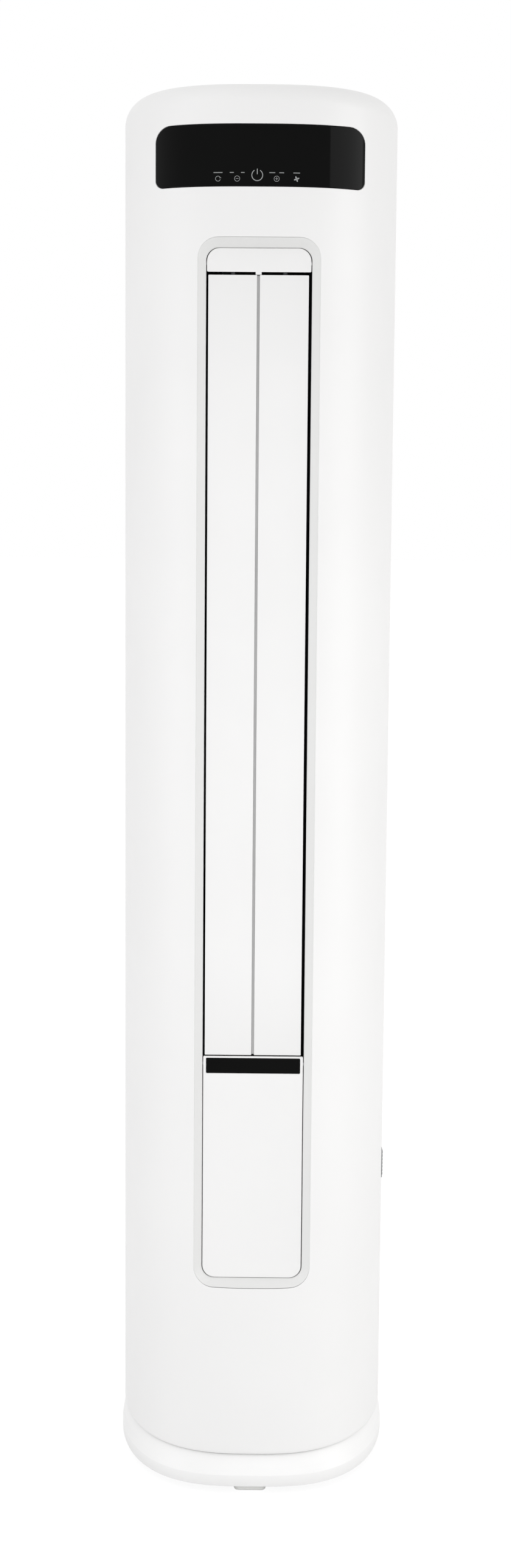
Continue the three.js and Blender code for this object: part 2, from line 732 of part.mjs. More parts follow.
// Vane about its own axis along X, with a notch at its back edge for the tie bar's clip.
function vane(rightPinEnd) {
  const [edge, middle] = [0.6, 1.2];
  const chord = VANE_HALF_CHORD;
  const profile = outline([
    [-chord, -edge],
    [0, -middle],
    [chord, -edge],
    [chord, edge],
    [0, middle],
    [-chord, edge],
  ]);
  const settings = { depth: 2 * VANE_HALF_LENGTH, bevelEnabled: false };
  const geometry = new THREE.ExtrudeGeometry(profile, settings);
  geometry.rotateX(Math.PI / 2);
  geometry.rotateZ(Math.PI / 2);
  geometry.translate(-VANE_HALF_LENGTH, 0, 0);
  const blade = toSolid(geometry);
  const notch = block(TIE_X - 5, TIE_X + 5, TIE_REACH - 7, chord + 1, -3, 3);
  const pivot = bar("x", VANE_PIN_RADIUS, [0, 0], -DUCT_OUTER - 0.5, -VANE_HALF_LENGTH + 1, 8);
  const drive = bar("x", VANE_PIN_RADIUS, [0, 0], VANE_HALF_LENGTH - 1, rightPinEnd, 8);
  const crankPin = bar("x", 1.2, [TIE_REACH, 0], TIE_X - 5.5, TIE_X + 5.5, 6);
  return join(cut(blade, notch), pivot, drive, crankPin);
}

// Upright bar with a forked clip for each vane.
function vaneTieBar() {
  const back = VANE_AXIS_Y + VANE_HALF_CHORD + GAP;
  const [left, right] = [TIE_X - 2.5, TIE_X + 2.5];
  const strip = block(left, right, back, back + 2.5, VANE_FIRST_Z - 12, VANE_LAST_Z + 12);
  const prongs = [];
  for (let i = 0; i < VANE_COUNT; i++) {
    const z = vaneZ(i);
    const front = VANE_AXIS_Y + TIE_REACH - 1.5;
    prongs.push(block(left, right, front, back + 1, z + 1.5, z + 3));
    prongs.push(block(left, right, front, back + 1, z - 3, z - 1.5));
  }
  return join(strip, ...prongs);
}

function vaneMotor() {
  const start = DUCT_OUTER + GAP;
  const place = [VANE_AXIS_Y, VANE_LAST_Z];
  const can = bar("x", 13, place, start, start + VANE_MOTOR_DEPTH, 24);
  const bore = bar("x", VANE_PIN_RADIUS + GAP, place, start - 1, start + VANE_MOTOR_DEPTH - 4, 8);
  const [front, back] = [VANE_AXIS_Y - 4, VANE_AXIS_Y + 4];
  const ear = block(start, start + 1.5, front, back, VANE_LAST_Z - 20, VANE_LAST_Z + 20);
  return cut(join(can, ear), bore);
}

// ---------------------------------------------------------------- frame and duct

// Upright sheet of constant thickness along a plan line.
function ribbon(points, thickness, z0, z1) {
  const sides = { left: [], right: [] };
  points.forEach(([x, y], i) => {
    const before = points[Math.max(i - 1, 0)];
    const after = points[Math.min(i + 1, points.length - 1)];
    const along = new THREE.Vector2(after[0] - before[0], after[1] - before[1]).normalize();
    const half = thickness / 2;
    sides.left.push([x - along.y * half, y + along.x * half]);
    sides.right.push([x + along.y * half, y - along.x * half]);
  });
  return upright(outline([...sides.left, ...sides.right.reverse()]), z0, z1);
}

// Plan line of a duct wall from the outlet back past the vanes; `side` is -1 on the left.
function ductEntry(side) {
  const centre = DUCT_HALF_WIDTH + DUCT_WALL / 2;
  const flare = 4;
  return [
    [side * (centre + flare), COLLAR_BACK_Y + GAP],
    [side * (centre + flare), -128],
    [side * centre, -116],
    [side * centre, -58],
  ];
}

function ductSheets(lines) {
  const low = LOWER_SHELF_Z + SHELF_THICKNESS + GAP;
  const high = UPPER_SHELF_Z - GAP;
  const sheets = lines.map((line) => ribbon(line, DUCT_WALL, low, high));
  const holes = [];
  for (let i = 0; i < VANE_COUNT; i++) {
    holes.push(bar("x", VANE_PIN_RADIUS + GAP, [VANE_AXIS_Y, vaneZ(i)], -80, 80, 8));
  }
  return cut(join(...sheets), ...holes);
}

// Point at a distance and bearing (degrees from +X) from the fan's axis.
function roundFan(distance, degrees) {
  const turn = THREE.MathUtils.degToRad(degrees);
  return [distance * Math.cos(turn), FAN_Y + distance * Math.sin(turn)];
}

function tongueWall() {
  const nose = roundFan(FAN_RADIUS + 9, 222);
  const back = roundFan(COIL_INNER - 7.5, 173);
  return ductSheets([[...ductEntry(-1), [-60, -46], nose, roundFan(76, 203), back]]);
}

function scrollWall() {
  const scroll = [ductEntry(1)];
  for (let degrees = -30; degrees <= 50; degrees += 16) {
    const spread = THREE.MathUtils.mapLinear(degrees, -30, 50, 24, 9);
    scroll[0].push(roundFan(FAN_RADIUS + spread, degrees));
  }
  const web = [roundFan(FAN_RADIUS + 14, 2), roundFan(COIL_INNER - 7.5, 7)];
  return ductSheets([...scroll, web]);
}

function shelfPlate(z) {
  const whole = upright(sectionShape(WALL + GAP), z, z + SHELF_THICKNESS);
  const front = block(-BEYOND, BEYOND, -BEYOND, COLLAR_BACK_Y + GAP, z - 1, z + SHELF_THICKNESS + 1);
  const reach = MOUTH_HALF_WIDTH - GAP;
  const tongue = block(-reach, reach, FACE_Y + WALL + 1.5, COLLAR_BACK_Y + 4, z, z + SHELF_THICKNESS);
  const pins = [-1, 1].map((side) =>
    bar("z", LOUVER_PIN_RADIUS + GAP, [(side * LOUVER_PITCH) / 2, LOUVER_AXIS_Y], z - 1, z + 5, 12),
  );
  const shaft = bar("z", 7, [0, FAN_Y], z - 1, z + 5);
  return cut(join(cut(whole, front), tongue), ...pins, shaft);
}

function lowerShelf() {
  const z = LOWER_SHELF_Z;
  const [low, high] = [z - 1, z + SHELF_THICKNESS + 1];
  const round = ({ radius, x, y }) => bar("z", radius + 2, [x, y], low, high);
  const notches = [-1, 1].map((side) => {
    const [left, right] = [side * POST_X - POST_HALF_WIDTH, side * POST_X + POST_HALF_WIDTH];
    return block(left, right, POST_Y - POST_DEPTH, POST_Y + POST_DEPTH, low, high);
  });
  return cut(shelfPlate(z), round(GAS_PIPE), round(LIQUID_PIPE), round(SPOUT), ...notches);
}

// Folded steel channel that stands on the plinth and carries both shelves.
function framePost(side) {
  const half = POST_HALF_WIDTH - GAP;
  const [left, right] = [side * POST_X - half, side * POST_X + half];
  const [front, back] = [POST_Y - POST_DEPTH + GAP, POST_Y + POST_DEPTH - GAP];
  const [low, high] = [DECK_TOP + GAP, UPPER_SHELF_Z - GAP];
  const outer = block(left, right, front, back, low, high);
  const [innerLeft, innerRight] = [left + POST_SHEET, right - POST_SHEET];
  const hollow = block(innerLeft, innerRight, front + POST_SHEET, back + 1, low - 1, high + 1);
  const bracket = block(left, right, front - 6, front + 1, LOWER_SHELF_Z - 2, LOWER_SHELF_Z - GAP);
  return join(cut(outer, hollow), bracket);
}

// ---------------------------------------------------------------- fan

function fanDisc(radius, z0, z1) {
  return bar("z", radius, [0, 0], z0, z1, 24);
}

// Cross-flow rotor about its own axis: curved blades between discs.
function fanRotor() {
  const blades = [];
  for (let i = 0; i < FAN_BLADES; i++) {
    const shape = new THREE.Shape();
    shape.moveTo(43, -3);
    shape.quadraticCurveTo(50, 5, 56.5, 6);
    shape.lineTo(56.5, 7.6);
    shape.quadraticCurveTo(49, 7, 42, -2);
    const blade = upright(shape, FAN_LOW + 1, FAN_HIGH - 1, 2);
    blades.push(blade.rotate([0, 0, (i * 360) / FAN_BLADES]));
  }
  const discs = [
    fanDisc(FAN_RADIUS, FAN_LOW, FAN_LOW + 4),
    fanDisc(FAN_RADIUS, FAN_HIGH - 4, FAN_HIGH),
  ];
  const hubs = [
    fanDisc(14, FAN_LOW - 6, FAN_LOW + 24),
    fanDisc(12, FAN_HIGH - 12, FAN_HIGH + 5),
  ];
  const bores = [
    bar("z", SHAFT_RADIUS + GAP, [0, 0], FAN_LOW - 10, FAN_LOW + 20, 12),
    bar("z", SHAFT_RADIUS + GAP, [0, 0], FAN_HIGH - 8, FAN_HIGH + 10, 12),
  ];
  return cut(join(...discs, ...blades, ...hubs), ...bores);
}

function driveShaft() {
  return bar("z", SHAFT_RADIUS, [0, 0], MOTOR_TOP - 26, FAN_LOW + 18, 12);
}

function topShaft() {
  return bar("z", SHAFT_RADIUS, [0, 0], FAN_HIGH - 6, UPPER_SHELF_Z + SHELF_THICKNESS + 12, 12);
}

function fanMotor() {
  const low = MOTOR_TOP - MOTOR_HEIGHT;
  const profile = [
    [0, low],
    [46, low],
    [52, low + 6],
    [52, MOTOR_TOP - 10],
    [46, MOTOR_TOP - 5],
    [46, MOTOR_TOP - 4],
    [64, MOTOR_TOP - 4],
    [64, MOTOR_TOP],
    [0, MOTOR_TOP],
  ].map(([radius, z]) => new THREE.Vector2(radius, z));
  const geometry = new THREE.LatheGeometry(profile, 28);
  geometry.rotateX(Math.PI / 2);
  geometry.translate(0, FAN_Y, 0);
  const bore = bar("z", SHAFT_RADIUS + GAP, [0, FAN_Y], MOTOR_TOP - 30, MOTOR_TOP + 1, 12);
  return cut(toSolid(geometry), bore);
}

function bearingSeat() {
  const low = UPPER_SHELF_Z + SHELF_THICKNESS + GAP;
  const base = bar("z", 24, [0, FAN_Y], low, low + 4, 20);
  const ring = bar("z", 14, [0, FAN_Y], low, low + 15, 20);
  const bore = bar("z", SHAFT_RADIUS + GAP, [0, FAN_Y], low - 1, low + 12, 12);
  return cut(join(base, ring), bore);
}

// ---------------------------------------------------------------- coil, drain and inlet

// Plan sector of a ring about the fan's axis, symmetric about the back.
function sector(inner, outer, startDegrees, steps = 20) {
  const [outside, inside] = [[], []];
  for (let i = 0; i <= steps; i++) {
    const degrees = THREE.MathUtils.lerp(startDegrees, 180 - startDegrees, i / steps);
    outside.push(roundFan(outer, degrees));
    inside.push(roundFan(inner, degrees));
  }
  return outline([...outside, ...inside.reverse()]);
}

function evaporator() {
  return upright(sector(COIL_INNER, COIL_OUTER, COIL_START_DEGREES), COIL_LOW, COIL_HIGH);
}

function coilFeet(z0, z1) {
  const middle = (COIL_INNER + COIL_OUTER) / 2;
  return [12, 90, 168].map((degrees) => {
    const [x, y] = roundFan(middle, degrees);
    return block(x - 8, x + 8, y - 5, y + 5, z0, z1);
  });
}

function lowerCoilPlate() {
  const top = COIL_LOW - GAP;
  const shape = sector(COIL_INNER - 1, COIL_OUTER + 1, COIL_START_DEGREES - 1);
  const plate = upright(shape, top - 1.5, top);
  return join(plate, ...coilFeet(PAN_LOW + PAN_FLOOR + GAP, top - 1));
}

function upperCoilPlate() {
  const low = COIL_HIGH + GAP;
  const shape = sector(COIL_INNER - 1, COIL_OUTER + 1, COIL_START_DEGREES - 1);
  const plate = upright(shape, low, low + 1.5);
  return join(plate, ...coilFeet(low + 1, UPPER_SHELF_Z - GAP));
}

// Curved tray under the coil, with its drain spout moulded on.
function drainPan() {
  const wall = 2;
  const high = PAN_LOW + 16;
  const tray = upright(sector(COIL_INNER - 6, COIL_OUTER + 6, 3), PAN_LOW, high);
  const inside = sector(COIL_INNER - 6 + wall, COIL_OUTER + 6 - wall, 4.2);
  const hollow = upright(inside, PAN_LOW + PAN_FLOOR, high + 1);
  const spout = bar("z", SPOUT.radius, [SPOUT.x, SPOUT.y], PAN_LOW - 40, PAN_LOW + wall / 2);
  const bore = bar("z", SPOUT.radius - 2.5, [SPOUT.x, SPOUT.y], PAN_LOW - 41, high, 12);
  return cut(join(cut(tray, hollow), spout), bore);
}

// Pipe from the coil's end down through the shelf and out towards the exit at the back.
function coilPipe({ radius, x, y, startZ, exitX, exitZ }) {
  const endFaceY = FAN_Y + Math.tan(THREE.MathUtils.degToRad(COIL_START_DEGREES)) * x - 2;
  const corners = [
    [x, endFaceY, startZ],
    [x, y, startZ - 4],
    [x, y, startZ - 40],
    [x, y, LOWER_SHELF_Z - 40],
    [x, y, exitZ + 120],
    [x * 0.8, y + 60, exitZ + 10],
    [exitX, y + 130, exitZ],
    [exitX, y + 158, exitZ],
  ].map((corner) => new THREE.Vector3(...corner));
  const path = new THREE.CatmullRomCurve3(corners, false, "centripetal");
  const ring = new THREE.Shape();
  ring.absarc(0, 0, radius, 0, 2 * Math.PI);
  const settings = { extrudePath: path, steps: 24, curveSegments: 4, bevelEnabled: false };
  return toSolid(new THREE.ExtrudeGeometry(ring, settings));
}

// Lift-out panel over the inlet: upright slots, clips for the filter, and two hooks at its foot.
function inletGrille() {
  const [low, high] = [GRILLE_LOW, GRILLE_HIGH];
  const band = wallBand(0, WALL, low, high);
  const reach = GRILLE_HALF_WIDTH;
  const panel = band.intersect(block(-reach, reach, 60, BEYOND, 0, HEIGHT));
  const border = 14;
  const bars = 7;
  const columnPitch = (2 * (reach - border) + bars) / GRILLE_COLUMNS;
  const rowPitch = (high - low - 2 * border + bars) / GRILLE_ROWS;
  const slots = [];
  for (let column = 0; column < GRILLE_COLUMNS; column++) {
    for (let row = 0; row < GRILLE_ROWS; row++) {
      const x = border - reach + column * columnPitch;
      const z = low + border + row * rowPitch;
      slots.push(block(x, x + columnPitch - bars, 60, BEYOND, z, z + rowPitch - bars));
    }
  }
  const clips = [];
  for (const x of [-90, 90]) {
    for (const z of [low + 16, high - 22]) {
      clips.push(block(x - 6, x + 6, FILTER_BACK_Y + GAP, 173, z, z + 6));
    }
  }
  return join(cut(panel, ...slots), ...clips);
}

function filterFrame() {
  const [low, high] = [GRILLE_LOW + 8, GRILLE_HIGH - 10];
  const [front, back] = [FILTER_BACK_Y - FILTER_DEPTH, FILTER_BACK_Y];
  const reach = FILTER_HALF_WIDTH;
  const frame = block(-reach, reach, front, back, low, high);
  const rim = 8;
  const rib = 4;
  const rows = 6;
  const pitch = (high - low - 2 * rim + rib) / rows;
  const windows = [];
  for (let row = 0; row < rows; row++) {
    const z = low + rim + row * pitch;
    windows.push(block(rim - reach, -rib / 2, front - 1, back + 1, z, z + pitch - rib));
    windows.push(block(rib / 2, reach - rim, front - 1, back + 1, z, z + pitch - rib));
  }
  return cut(frame, ...windows);
}

// ---------------------------------------------------------------- electrics

function controlBox() {
  const low = DECK_TOP + GAP;
  const outer = block(-BOX_HALF_WIDTH, BOX_HALF_WIDTH, BOX_FRONT_Y, BOX_BACK_Y, low, BOX_TOP);
  const inner = block(
    BOX_SHEET - BOX_HALF_WIDTH,
    BOX_HALF_WIDTH - BOX_SHEET,
    BOX_FRONT_Y - 1,
    BOX_BACK_Y - BOX_SHEET,
    low + BOX_SHEET,
    BOX_TOP - BOX_SHEET,
  );
  const cableHole = bar("x", 12, [0, 90], 60, 100, 12);
  return cut(outer, inner, cableHole);
}

function controlBoxCover() {
  const front = BOX_FRONT_Y - GAP - BOX_SHEET;
  const low = DECK_TOP + GAP;
  const reach = BOX_HALF_WIDTH + 2;
  const plate = block(-reach, reach, front, front + BOX_SHEET, low, BOX_TOP + 2);
  const flange = block(-reach, reach, front, BOX_FRONT_Y + 8, BOX_TOP + GAP, BOX_TOP + 2);
  return join(plate, flange);
}

function mainBoard() {
  const face = MAIN_BOARD_Y - BOARD_THICKNESS;
  const board = block(-74, 74, face, MAIN_BOARD_Y, 80, 310);
  const standoffs = [-66, 66].flatMap((x) =>
    [90, 300].map((z) => bar("y", 3, [x, z], MAIN_BOARD_Y - 1, BOX_BACK_Y - BOX_SHEET - GAP, 8)),
  );
  const transformer = block(-66, -20, face - 36, face + 1, 236, 290);
  const capacitor = bar("y", 14, [16, 262], face - 40, face + 1, 12);
  const heatSink = block(36, 68, face - 26, face + 1, 190, 290);
  const relays = [-60, -36, -12].map((x) => block(x, x + 18, face - 16, face + 1, 140, 170));
  return join(board, ...standoffs, transformer, capacitor, heatSink, ...relays);
}

function terminalBlock() {
  const back = MAIN_BOARD_Y - BOARD_THICKNESS - GAP;
  const base = block(-10, 66, back - 18, back, 88, 118);
  const cells = [];
  for (let i = 0; i < 6; i++) {
    cells.push(block(-7 + i * 12, 3 + i * 12, back - 20, back - 8, 94, 112));
  }
  return cut(base, ...cells);
}

// ---------------------------------------------------------------- assembly

function material(color, roughness, metalness = 0) {
  return new THREE.MeshStandardMaterial({ color, roughness, metalness });
}

const WHITE = material(0xefeff0, 0.35);
const WARM_WHITE = material(0xf4f4f3, 0.35);
const PALE_GREY = material(0xdcdcda, 0.4);
const BLACK_GLOSS = material(0x121413, 0.08);
const DARK_PLASTIC = material(0x33363a, 0.5);
const RUBBER = material(0xc9cac8, 0.8);
const STEEL = material(0xb9bcbf, 0.4, 0.8);
const ALUMINIUM = material(0xc6cacd, 0.45, 0.8);
const COPPER = material(0xb87350, 0.35, 0.9);
const BOARD_GREEN = material(0x1f6b45, 0.5);
const NET_GREY = material(0x9aa2a6, 0.8);

const unit = new THREE.Group();

function place(name, solid, finish, x = 0, y = 0, z = 0) {
  const mesh = new THREE.Mesh(toGeometry(solid), finish);
  mesh.name = name;
  mesh.position.set(x, y, z);
  unit.add(mesh);
  return mesh;
}

const shell = columnShell();
place("base_plinth", basePlinth(), WARM_WHITE);
place("foot_front", foot(0, -154), RUBBER);
place("foot_front_left", foot(-90, -118), RUBBER);
place("foot_front_right", foot(90, -118), RUBBER);
place("foot_rear_left", foot(-112, 118), RUBBER);
place("foot_rear_right", foot(112, 118), RUBBER);
place("front_cover", frontCover(shell), WHITE);
place("rear_housing", rearHousing(shell), WHITE);
place("top_cover", topCover(), WHITE);
place("outlet_surround", outletSurround(), PALE_GREY);
place("outlet_cap", outletCap(), WHITE);
place("lower_panel", lowerPanel(), WHITE);
place("trim_strip", trimStrip(), BLACK_GLOSS);
place("display_window", displayWindow(), BLACK_GLOSS);
place("display_holder", displayHolder(), DARK_PLASTIC);
place("display_board", displayBoard(), BOARD_GREEN);
place("side_catch", sideCatch(), DARK_PLASTIC);
place("cable_gland", cableGland(), DARK_PLASTIC);
place("tip_bracket", tipBracket(), STEEL);

place("lower_shelf", lowerShelf(), STEEL);
place("upper_shelf", shelfPlate(UPPER_SHELF_Z), STEEL);
place("frame_post_left", framePost(-1), STEEL);
place("frame_post_right", framePost(1), STEEL);
place("tongue_wall", tongueWall(), DARK_PLASTIC);
place("scroll_wall", scrollWall(), DARK_PLASTIC);

const pinLow = LOWER_SHELF_Z - 8;
const leftLouver = louver(pinLow, UPPER_SHELF_Z + 14, true);
const rightLouver = louver(pinLow, UPPER_SHELF_Z + 6, false);
place("left_louver", leftLouver, WHITE, -LOUVER_PITCH / 2, LOUVER_AXIS_Y);
place("right_louver", rightLouver, WHITE, LOUVER_PITCH / 2, LOUVER_AXIS_Y);
place("left_louver_crank", crank(), DARK_PLASTIC, -LOUVER_PITCH / 2, LOUVER_AXIS_Y);
place("right_louver_crank", crank(), DARK_PLASTIC, LOUVER_PITCH / 2, LOUVER_AXIS_Y);
place("louver_link", louverLink(), DARK_PLASTIC);
place("louver_motor", louverMotor(), STEEL);

for (let i = 0; i < VANE_COUNT; i++) {
  const driven = i === VANE_COUNT - 1;
  const pinEnd = driven ? DUCT_OUTER + VANE_MOTOR_DEPTH - 5 : DUCT_OUTER + 0.5;
  const number = String(i + 1).padStart(2, "0");
  place(`vane_${number}`, vane(pinEnd), DARK_PLASTIC, 0, VANE_AXIS_Y, vaneZ(i));
}
place("vane_tie_bar", vaneTieBar(), DARK_PLASTIC);
place("vane_motor", vaneMotor(), STEEL);

place("fan_rotor", fanRotor(), DARK_PLASTIC, 0, FAN_Y);
place("fan_drive_shaft", driveShaft(), STEEL, 0, FAN_Y);
place("fan_top_shaft", topShaft(), STEEL, 0, FAN_Y);
place("fan_motor", fanMotor(), STEEL);
place("bearing_seat", bearingSeat(), DARK_PLASTIC);

place("evaporator", evaporator(), ALUMINIUM);
place("coil_plate_lower", lowerCoilPlate(), STEEL);
place("coil_plate_upper", upperCoilPlate(), STEEL);
place("drain_pan", drainPan(), DARK_PLASTIC);
place("gas_pipe", coilPipe(GAS_PIPE), COPPER);
place("liquid_pipe", coilPipe(LIQUID_PIPE), COPPER);
place("inlet_grille", inletGrille(), WHITE);
place("filter_frame", filterFrame(), NET_GREY);

place("control_box", controlBox(), STEEL);
place("control_box_cover", controlBoxCover(), STEEL);
place("main_board", mainBoard(), BOARD_GREEN);
place("terminal_block", terminalBlock(), DARK_PLASTIC);

export default unit;
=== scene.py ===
"""Floor-standing air conditioner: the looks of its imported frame, with camera, floor and light.

Lengths are millimetres and become metres where a mesh is made; the floor and the lamps are in metres.
+X is to the right seen from the front, +Y to the back and +Z up from the floor.
"""

import json
import math

import bpy
import numpy as np
from mathutils import Matrix, Vector
from mathutils.geometry import delaunay_2d_cdt


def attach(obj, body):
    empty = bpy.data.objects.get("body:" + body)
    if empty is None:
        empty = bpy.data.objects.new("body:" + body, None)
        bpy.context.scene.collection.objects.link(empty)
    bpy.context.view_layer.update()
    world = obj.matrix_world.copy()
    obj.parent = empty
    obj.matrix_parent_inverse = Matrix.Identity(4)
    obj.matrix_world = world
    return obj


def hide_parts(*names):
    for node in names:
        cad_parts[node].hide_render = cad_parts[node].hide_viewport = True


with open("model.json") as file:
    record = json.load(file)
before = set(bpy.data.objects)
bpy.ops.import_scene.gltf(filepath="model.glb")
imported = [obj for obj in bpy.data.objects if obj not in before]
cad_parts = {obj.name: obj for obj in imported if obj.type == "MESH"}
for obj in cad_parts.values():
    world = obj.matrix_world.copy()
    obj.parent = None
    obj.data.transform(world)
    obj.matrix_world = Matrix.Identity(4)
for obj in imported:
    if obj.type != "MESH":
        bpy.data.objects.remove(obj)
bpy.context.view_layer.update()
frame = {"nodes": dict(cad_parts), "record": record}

MM = 0.001
GAP = 0.3

# Column: two half super-ellipses that meet at the widest plane.
HEIGHT = 1800.0
HALF_WIDTH = 176.0
WIDEST_Y = 38.0
FRONT_DEPTH = 216.0
REAR_DEPTH = 144.0
SIDE_POWER = 2.7
FRONT_POWER = 2.0
REAR_POWER = 3.2
WALL = 3.0
TOP_RADIUS_FRONT = 22.0
TOP_RADIUS_SIDE = 34.0
TOP_LAND = 6.0
LID_THICKNESS = 3.0
SHELL_SPLIT_Y = 20.0
SHELL_BOTTOM = 51.6

# Plinth and feet.
FOOT_HEIGHT = 10.0
FOOT_HALF_WIDTH = 21.0
FOOT_HALF_DEPTH = 20.0
FOOT_CORNER = 7.0
FOOT_SOCKET_RADIUS = 8.0
SOLE_EDGE = ((2.2, 0), (1.0, 0.4), (0.3, 1.4), (0, 2.8))
FEET = {
    "foot_front": (0, -154),
    "foot_front_left": (-90, -118),
    "foot_front_right": (90, -118),
    "foot_rear_left": (-112, 118),
    "foot_rear_right": (112, 118),
}
PLINTH_GROW_SIDE = 3.0
PLINTH_GROW_FRONT = 7.0
PLINTH_GROW_REAR = 3.0
PLINTH_SIDE_POWER = 3.0
PLINTH_BAND_TOP = 26.0
PLINTH_FLARE = 1.7
PLINTH_SHOULDER = 2.0
NECK_HEIGHT = 14.0
NECK_DEPTH = 5.0
NECK_POWER = 1.5
SEAM_GAP = 1.1
DECK_TOP = 50.0
DECK_THICKNESS = 4.0

# Outlet frame and the faces in it.
FRAME_HALF_WIDTH = 75.5
FRAME_LOW = 278.6
FRAME_HIGH = 1616.8
FRAME_CORNER = 25.0
RIM_DROP_GAP = 0.6
MOUTH_HALF_WIDTH = 65.2
MOUTH_LOW = 288.0
MOUTH_HIGH = 1604.6
MOUTH_CORNER = 16.0
FACE_Y = -162.0
COLLAR_BACK_Y = -146.0
COLLAR_WALL = 2.5
LOUVER_PITCH = 64.2
LOUVER_HALF_WIDTH = 30.4
LOUVER_LOW = 586.5
LOUVER_HIGH = 1571.9
LOUVER_AXIS_BACK = 8.0
LOUVER_AXIS_Y = FACE_Y + LOUVER_AXIS_BACK
CAP_LOW = 1575.5
CAP_POST_X = -0.7
CAP_POST_HALF_WIDTH = 3.7
STRIP_HALF_WIDTH = 60.4
STRIP_LOW = 562.5
STRIP_HIGH = 582.2
STRIP_DEPTH = 1.2
STRIP_CORNER = 1.2
STRIP_RECESS_CORNER = 1.3
FACE_CORNER = 1.6
FACE_SIDE_GAP = 1.0
PANEL_FOOT_GAP = 0.7
LOUVER_FOOT_GAP = 1.8

# Louver blades with their end blocks, pins and seal.
BLADE_EDGE = 1.0
BLADE_RIM = 3.0
BLADE_BELLY = 9.0
BLADE_ENDS = ((0.7, 0), (0.2, 0.2), (0, 0.7))
END_BLOCK_LOW = (-8, -7, 0)
END_BLOCK_HIGH = (8, 4, 12)
PIN_RADIUS = 3.0
PIN_LOW = 564.0
LEFT_PIN_HIGH = 1598.0
RIGHT_PIN_HIGH = 1590.0
LEFT_TRIMS = (0, -0.8)
RIGHT_TRIMS = (-0.8, -1.2)
SEAL_LAP = 2.0
SEAL_SINK = 3.8
SEAL_WIDTH = 7.2
SEAL_THICKNESS = 1.3
SEAL_END_GAP = 0.5

# Display.
DISPLAY_HALF_WIDTH = 129.6
DISPLAY_LOW = 1677.0
DISPLAY_HIGH = 1751.0
DISPLAY_TOP_CORNER = 19.5
DISPLAY_LOW_CORNER = 10.0
DISPLAY_GRID_REACH = 125.0
DISPLAY_GRID_INSET = 6.0

# Side catch and the back.
CATCH_Z = 390.0
CATCH_HALF_HEIGHT = 20.0
CATCH_HALF_DEPTH = 7.0
CATCH_CORNER = 1.5
CATCH_THICKNESS = 8.0
CATCH_FACE_X = HALF_WIDTH + 0.2
CATCH_RIB = 0.6
CATCH_RIB_PITCH = 5.0
CATCH_RIB_HALF_DEPTH = 5.0
CATCH_RIB_HALF_HEIGHT = 1.7
CATCH_RIB_CORNER = 1.2
GRILLE_HALF_WIDTH = 116.0
GRILLE_LOW = 620.0
GRILLE_HIGH = 1545.0
GRILLE_CORNER = 6.0
GRILLE_GAP = 1.0
FILTER_HALF_WIDTH = 104.0
FILTER_LOW = GRILLE_LOW + 8
FILTER_HIGH = GRILLE_HIGH - 10
FILTER_BACK_Y = 157.0
FILTER_DEPTH = 6.0
FILTER_RIM = 8.0
FILTER_RIB = 4.0
FILTER_ROWS = 6
FILTER_CORNER = 4.0
FILTER_WINDOW_CORNER = 3.0
PIPE_EXIT_HALF_WIDTH = 40.0
PIPE_EXIT_LOW = 84.0
PIPE_EXIT_HIGH = 150.0
PIPE_EXIT_CORNER = 12.0
GLAND_X = 75.0
GLAND_Z = 110.0
GLAND_RADIUS = 8.7
STRAP_PLATE_Z = 1710.0
STRAP_PLATE_HALF_WIDTH = 34.0
STRAP_PLATE_HALF_HEIGHT = 20.0
STRAP_PLATE_THICKNESS = 2.0
STRAP_PLATE_CORNER = 5.0
STRAP_SLOT_X = 20.0
STRAP_SLOT_HALF_WIDTH = 7.0
STRAP_SLOT_HALF_HEIGHT = 3.0

# Fan and coil.
FAN_Y = 10.0
FAN_RADIUS = 58.0
FAN_LOW = 590.0
FAN_HIGH = 1572.0
COIL_INNER = 104.0
COIL_OUTER = 134.0
COIL_LOW = 590.0
COIL_HIGH = 1572.0
COIL_START_DEGREES = 8.0

# Photograph: place and aim of the camera, worked out from the object's outlines.
CAMERA_PLACE = (25.3, -3304.7, 1413.9)
CAMERA_YAW = math.radians(0.4333)
CAMERA_PITCH = math.radians(8.584)
CAMERA_ROLL = math.radians(0.452)
CAMERA_LENS = 57.64
CAMERA_SHIFT = -0.0006
CAMERA_SENSOR = 36.0


# ---------------- camera, floor and light

def set_camera():
    data = bpy.data.cameras.new("camera")
    data.sensor_fit = "VERTICAL"
    data.sensor_height = CAMERA_SENSOR
    data.lens = CAMERA_LENS
    data.shift_x = CAMERA_SHIFT
    data.clip_end = 100
    camera = bpy.data.objects.new("camera", data)
    bpy.context.scene.collection.objects.link(camera)
    turn = (
        Matrix.Rotation(CAMERA_YAW, 4, "Z")
        @ Matrix.Rotation(math.pi / 2 - CAMERA_PITCH, 4, "X")
        @ Matrix.Rotation(CAMERA_ROLL, 4, "Z")
    )
    camera.matrix_world = Matrix.Translation(Vector(CAMERA_PLACE) * MM) @ turn
    bpy.context.scene.camera = camera


def add_node(tree, kind, values=()):
    """New shader node, with the inputs named in the table of values set."""
    added = tree.nodes.new("ShaderNode" + kind)
    for name, value in dict(values).items():
        added.inputs[name].default_value = value
    return added


def seen_directly(tree):
    """Value that is 1 for camera, glossy and transmission rays and 0 for all others."""
    path = add_node(tree, "LightPath")
    value = path.outputs["Is Camera Ray"]
    for kind in ("Is Glossy Ray", "Is Transmission Ray"):
        either = add_node(tree, "Math")
        either.operation = "MAXIMUM"
        tree.links.new(value, either.inputs[0])
        tree.links.new(path.outputs[kind], either.inputs[1])
        value = either.outputs[0]
    return value


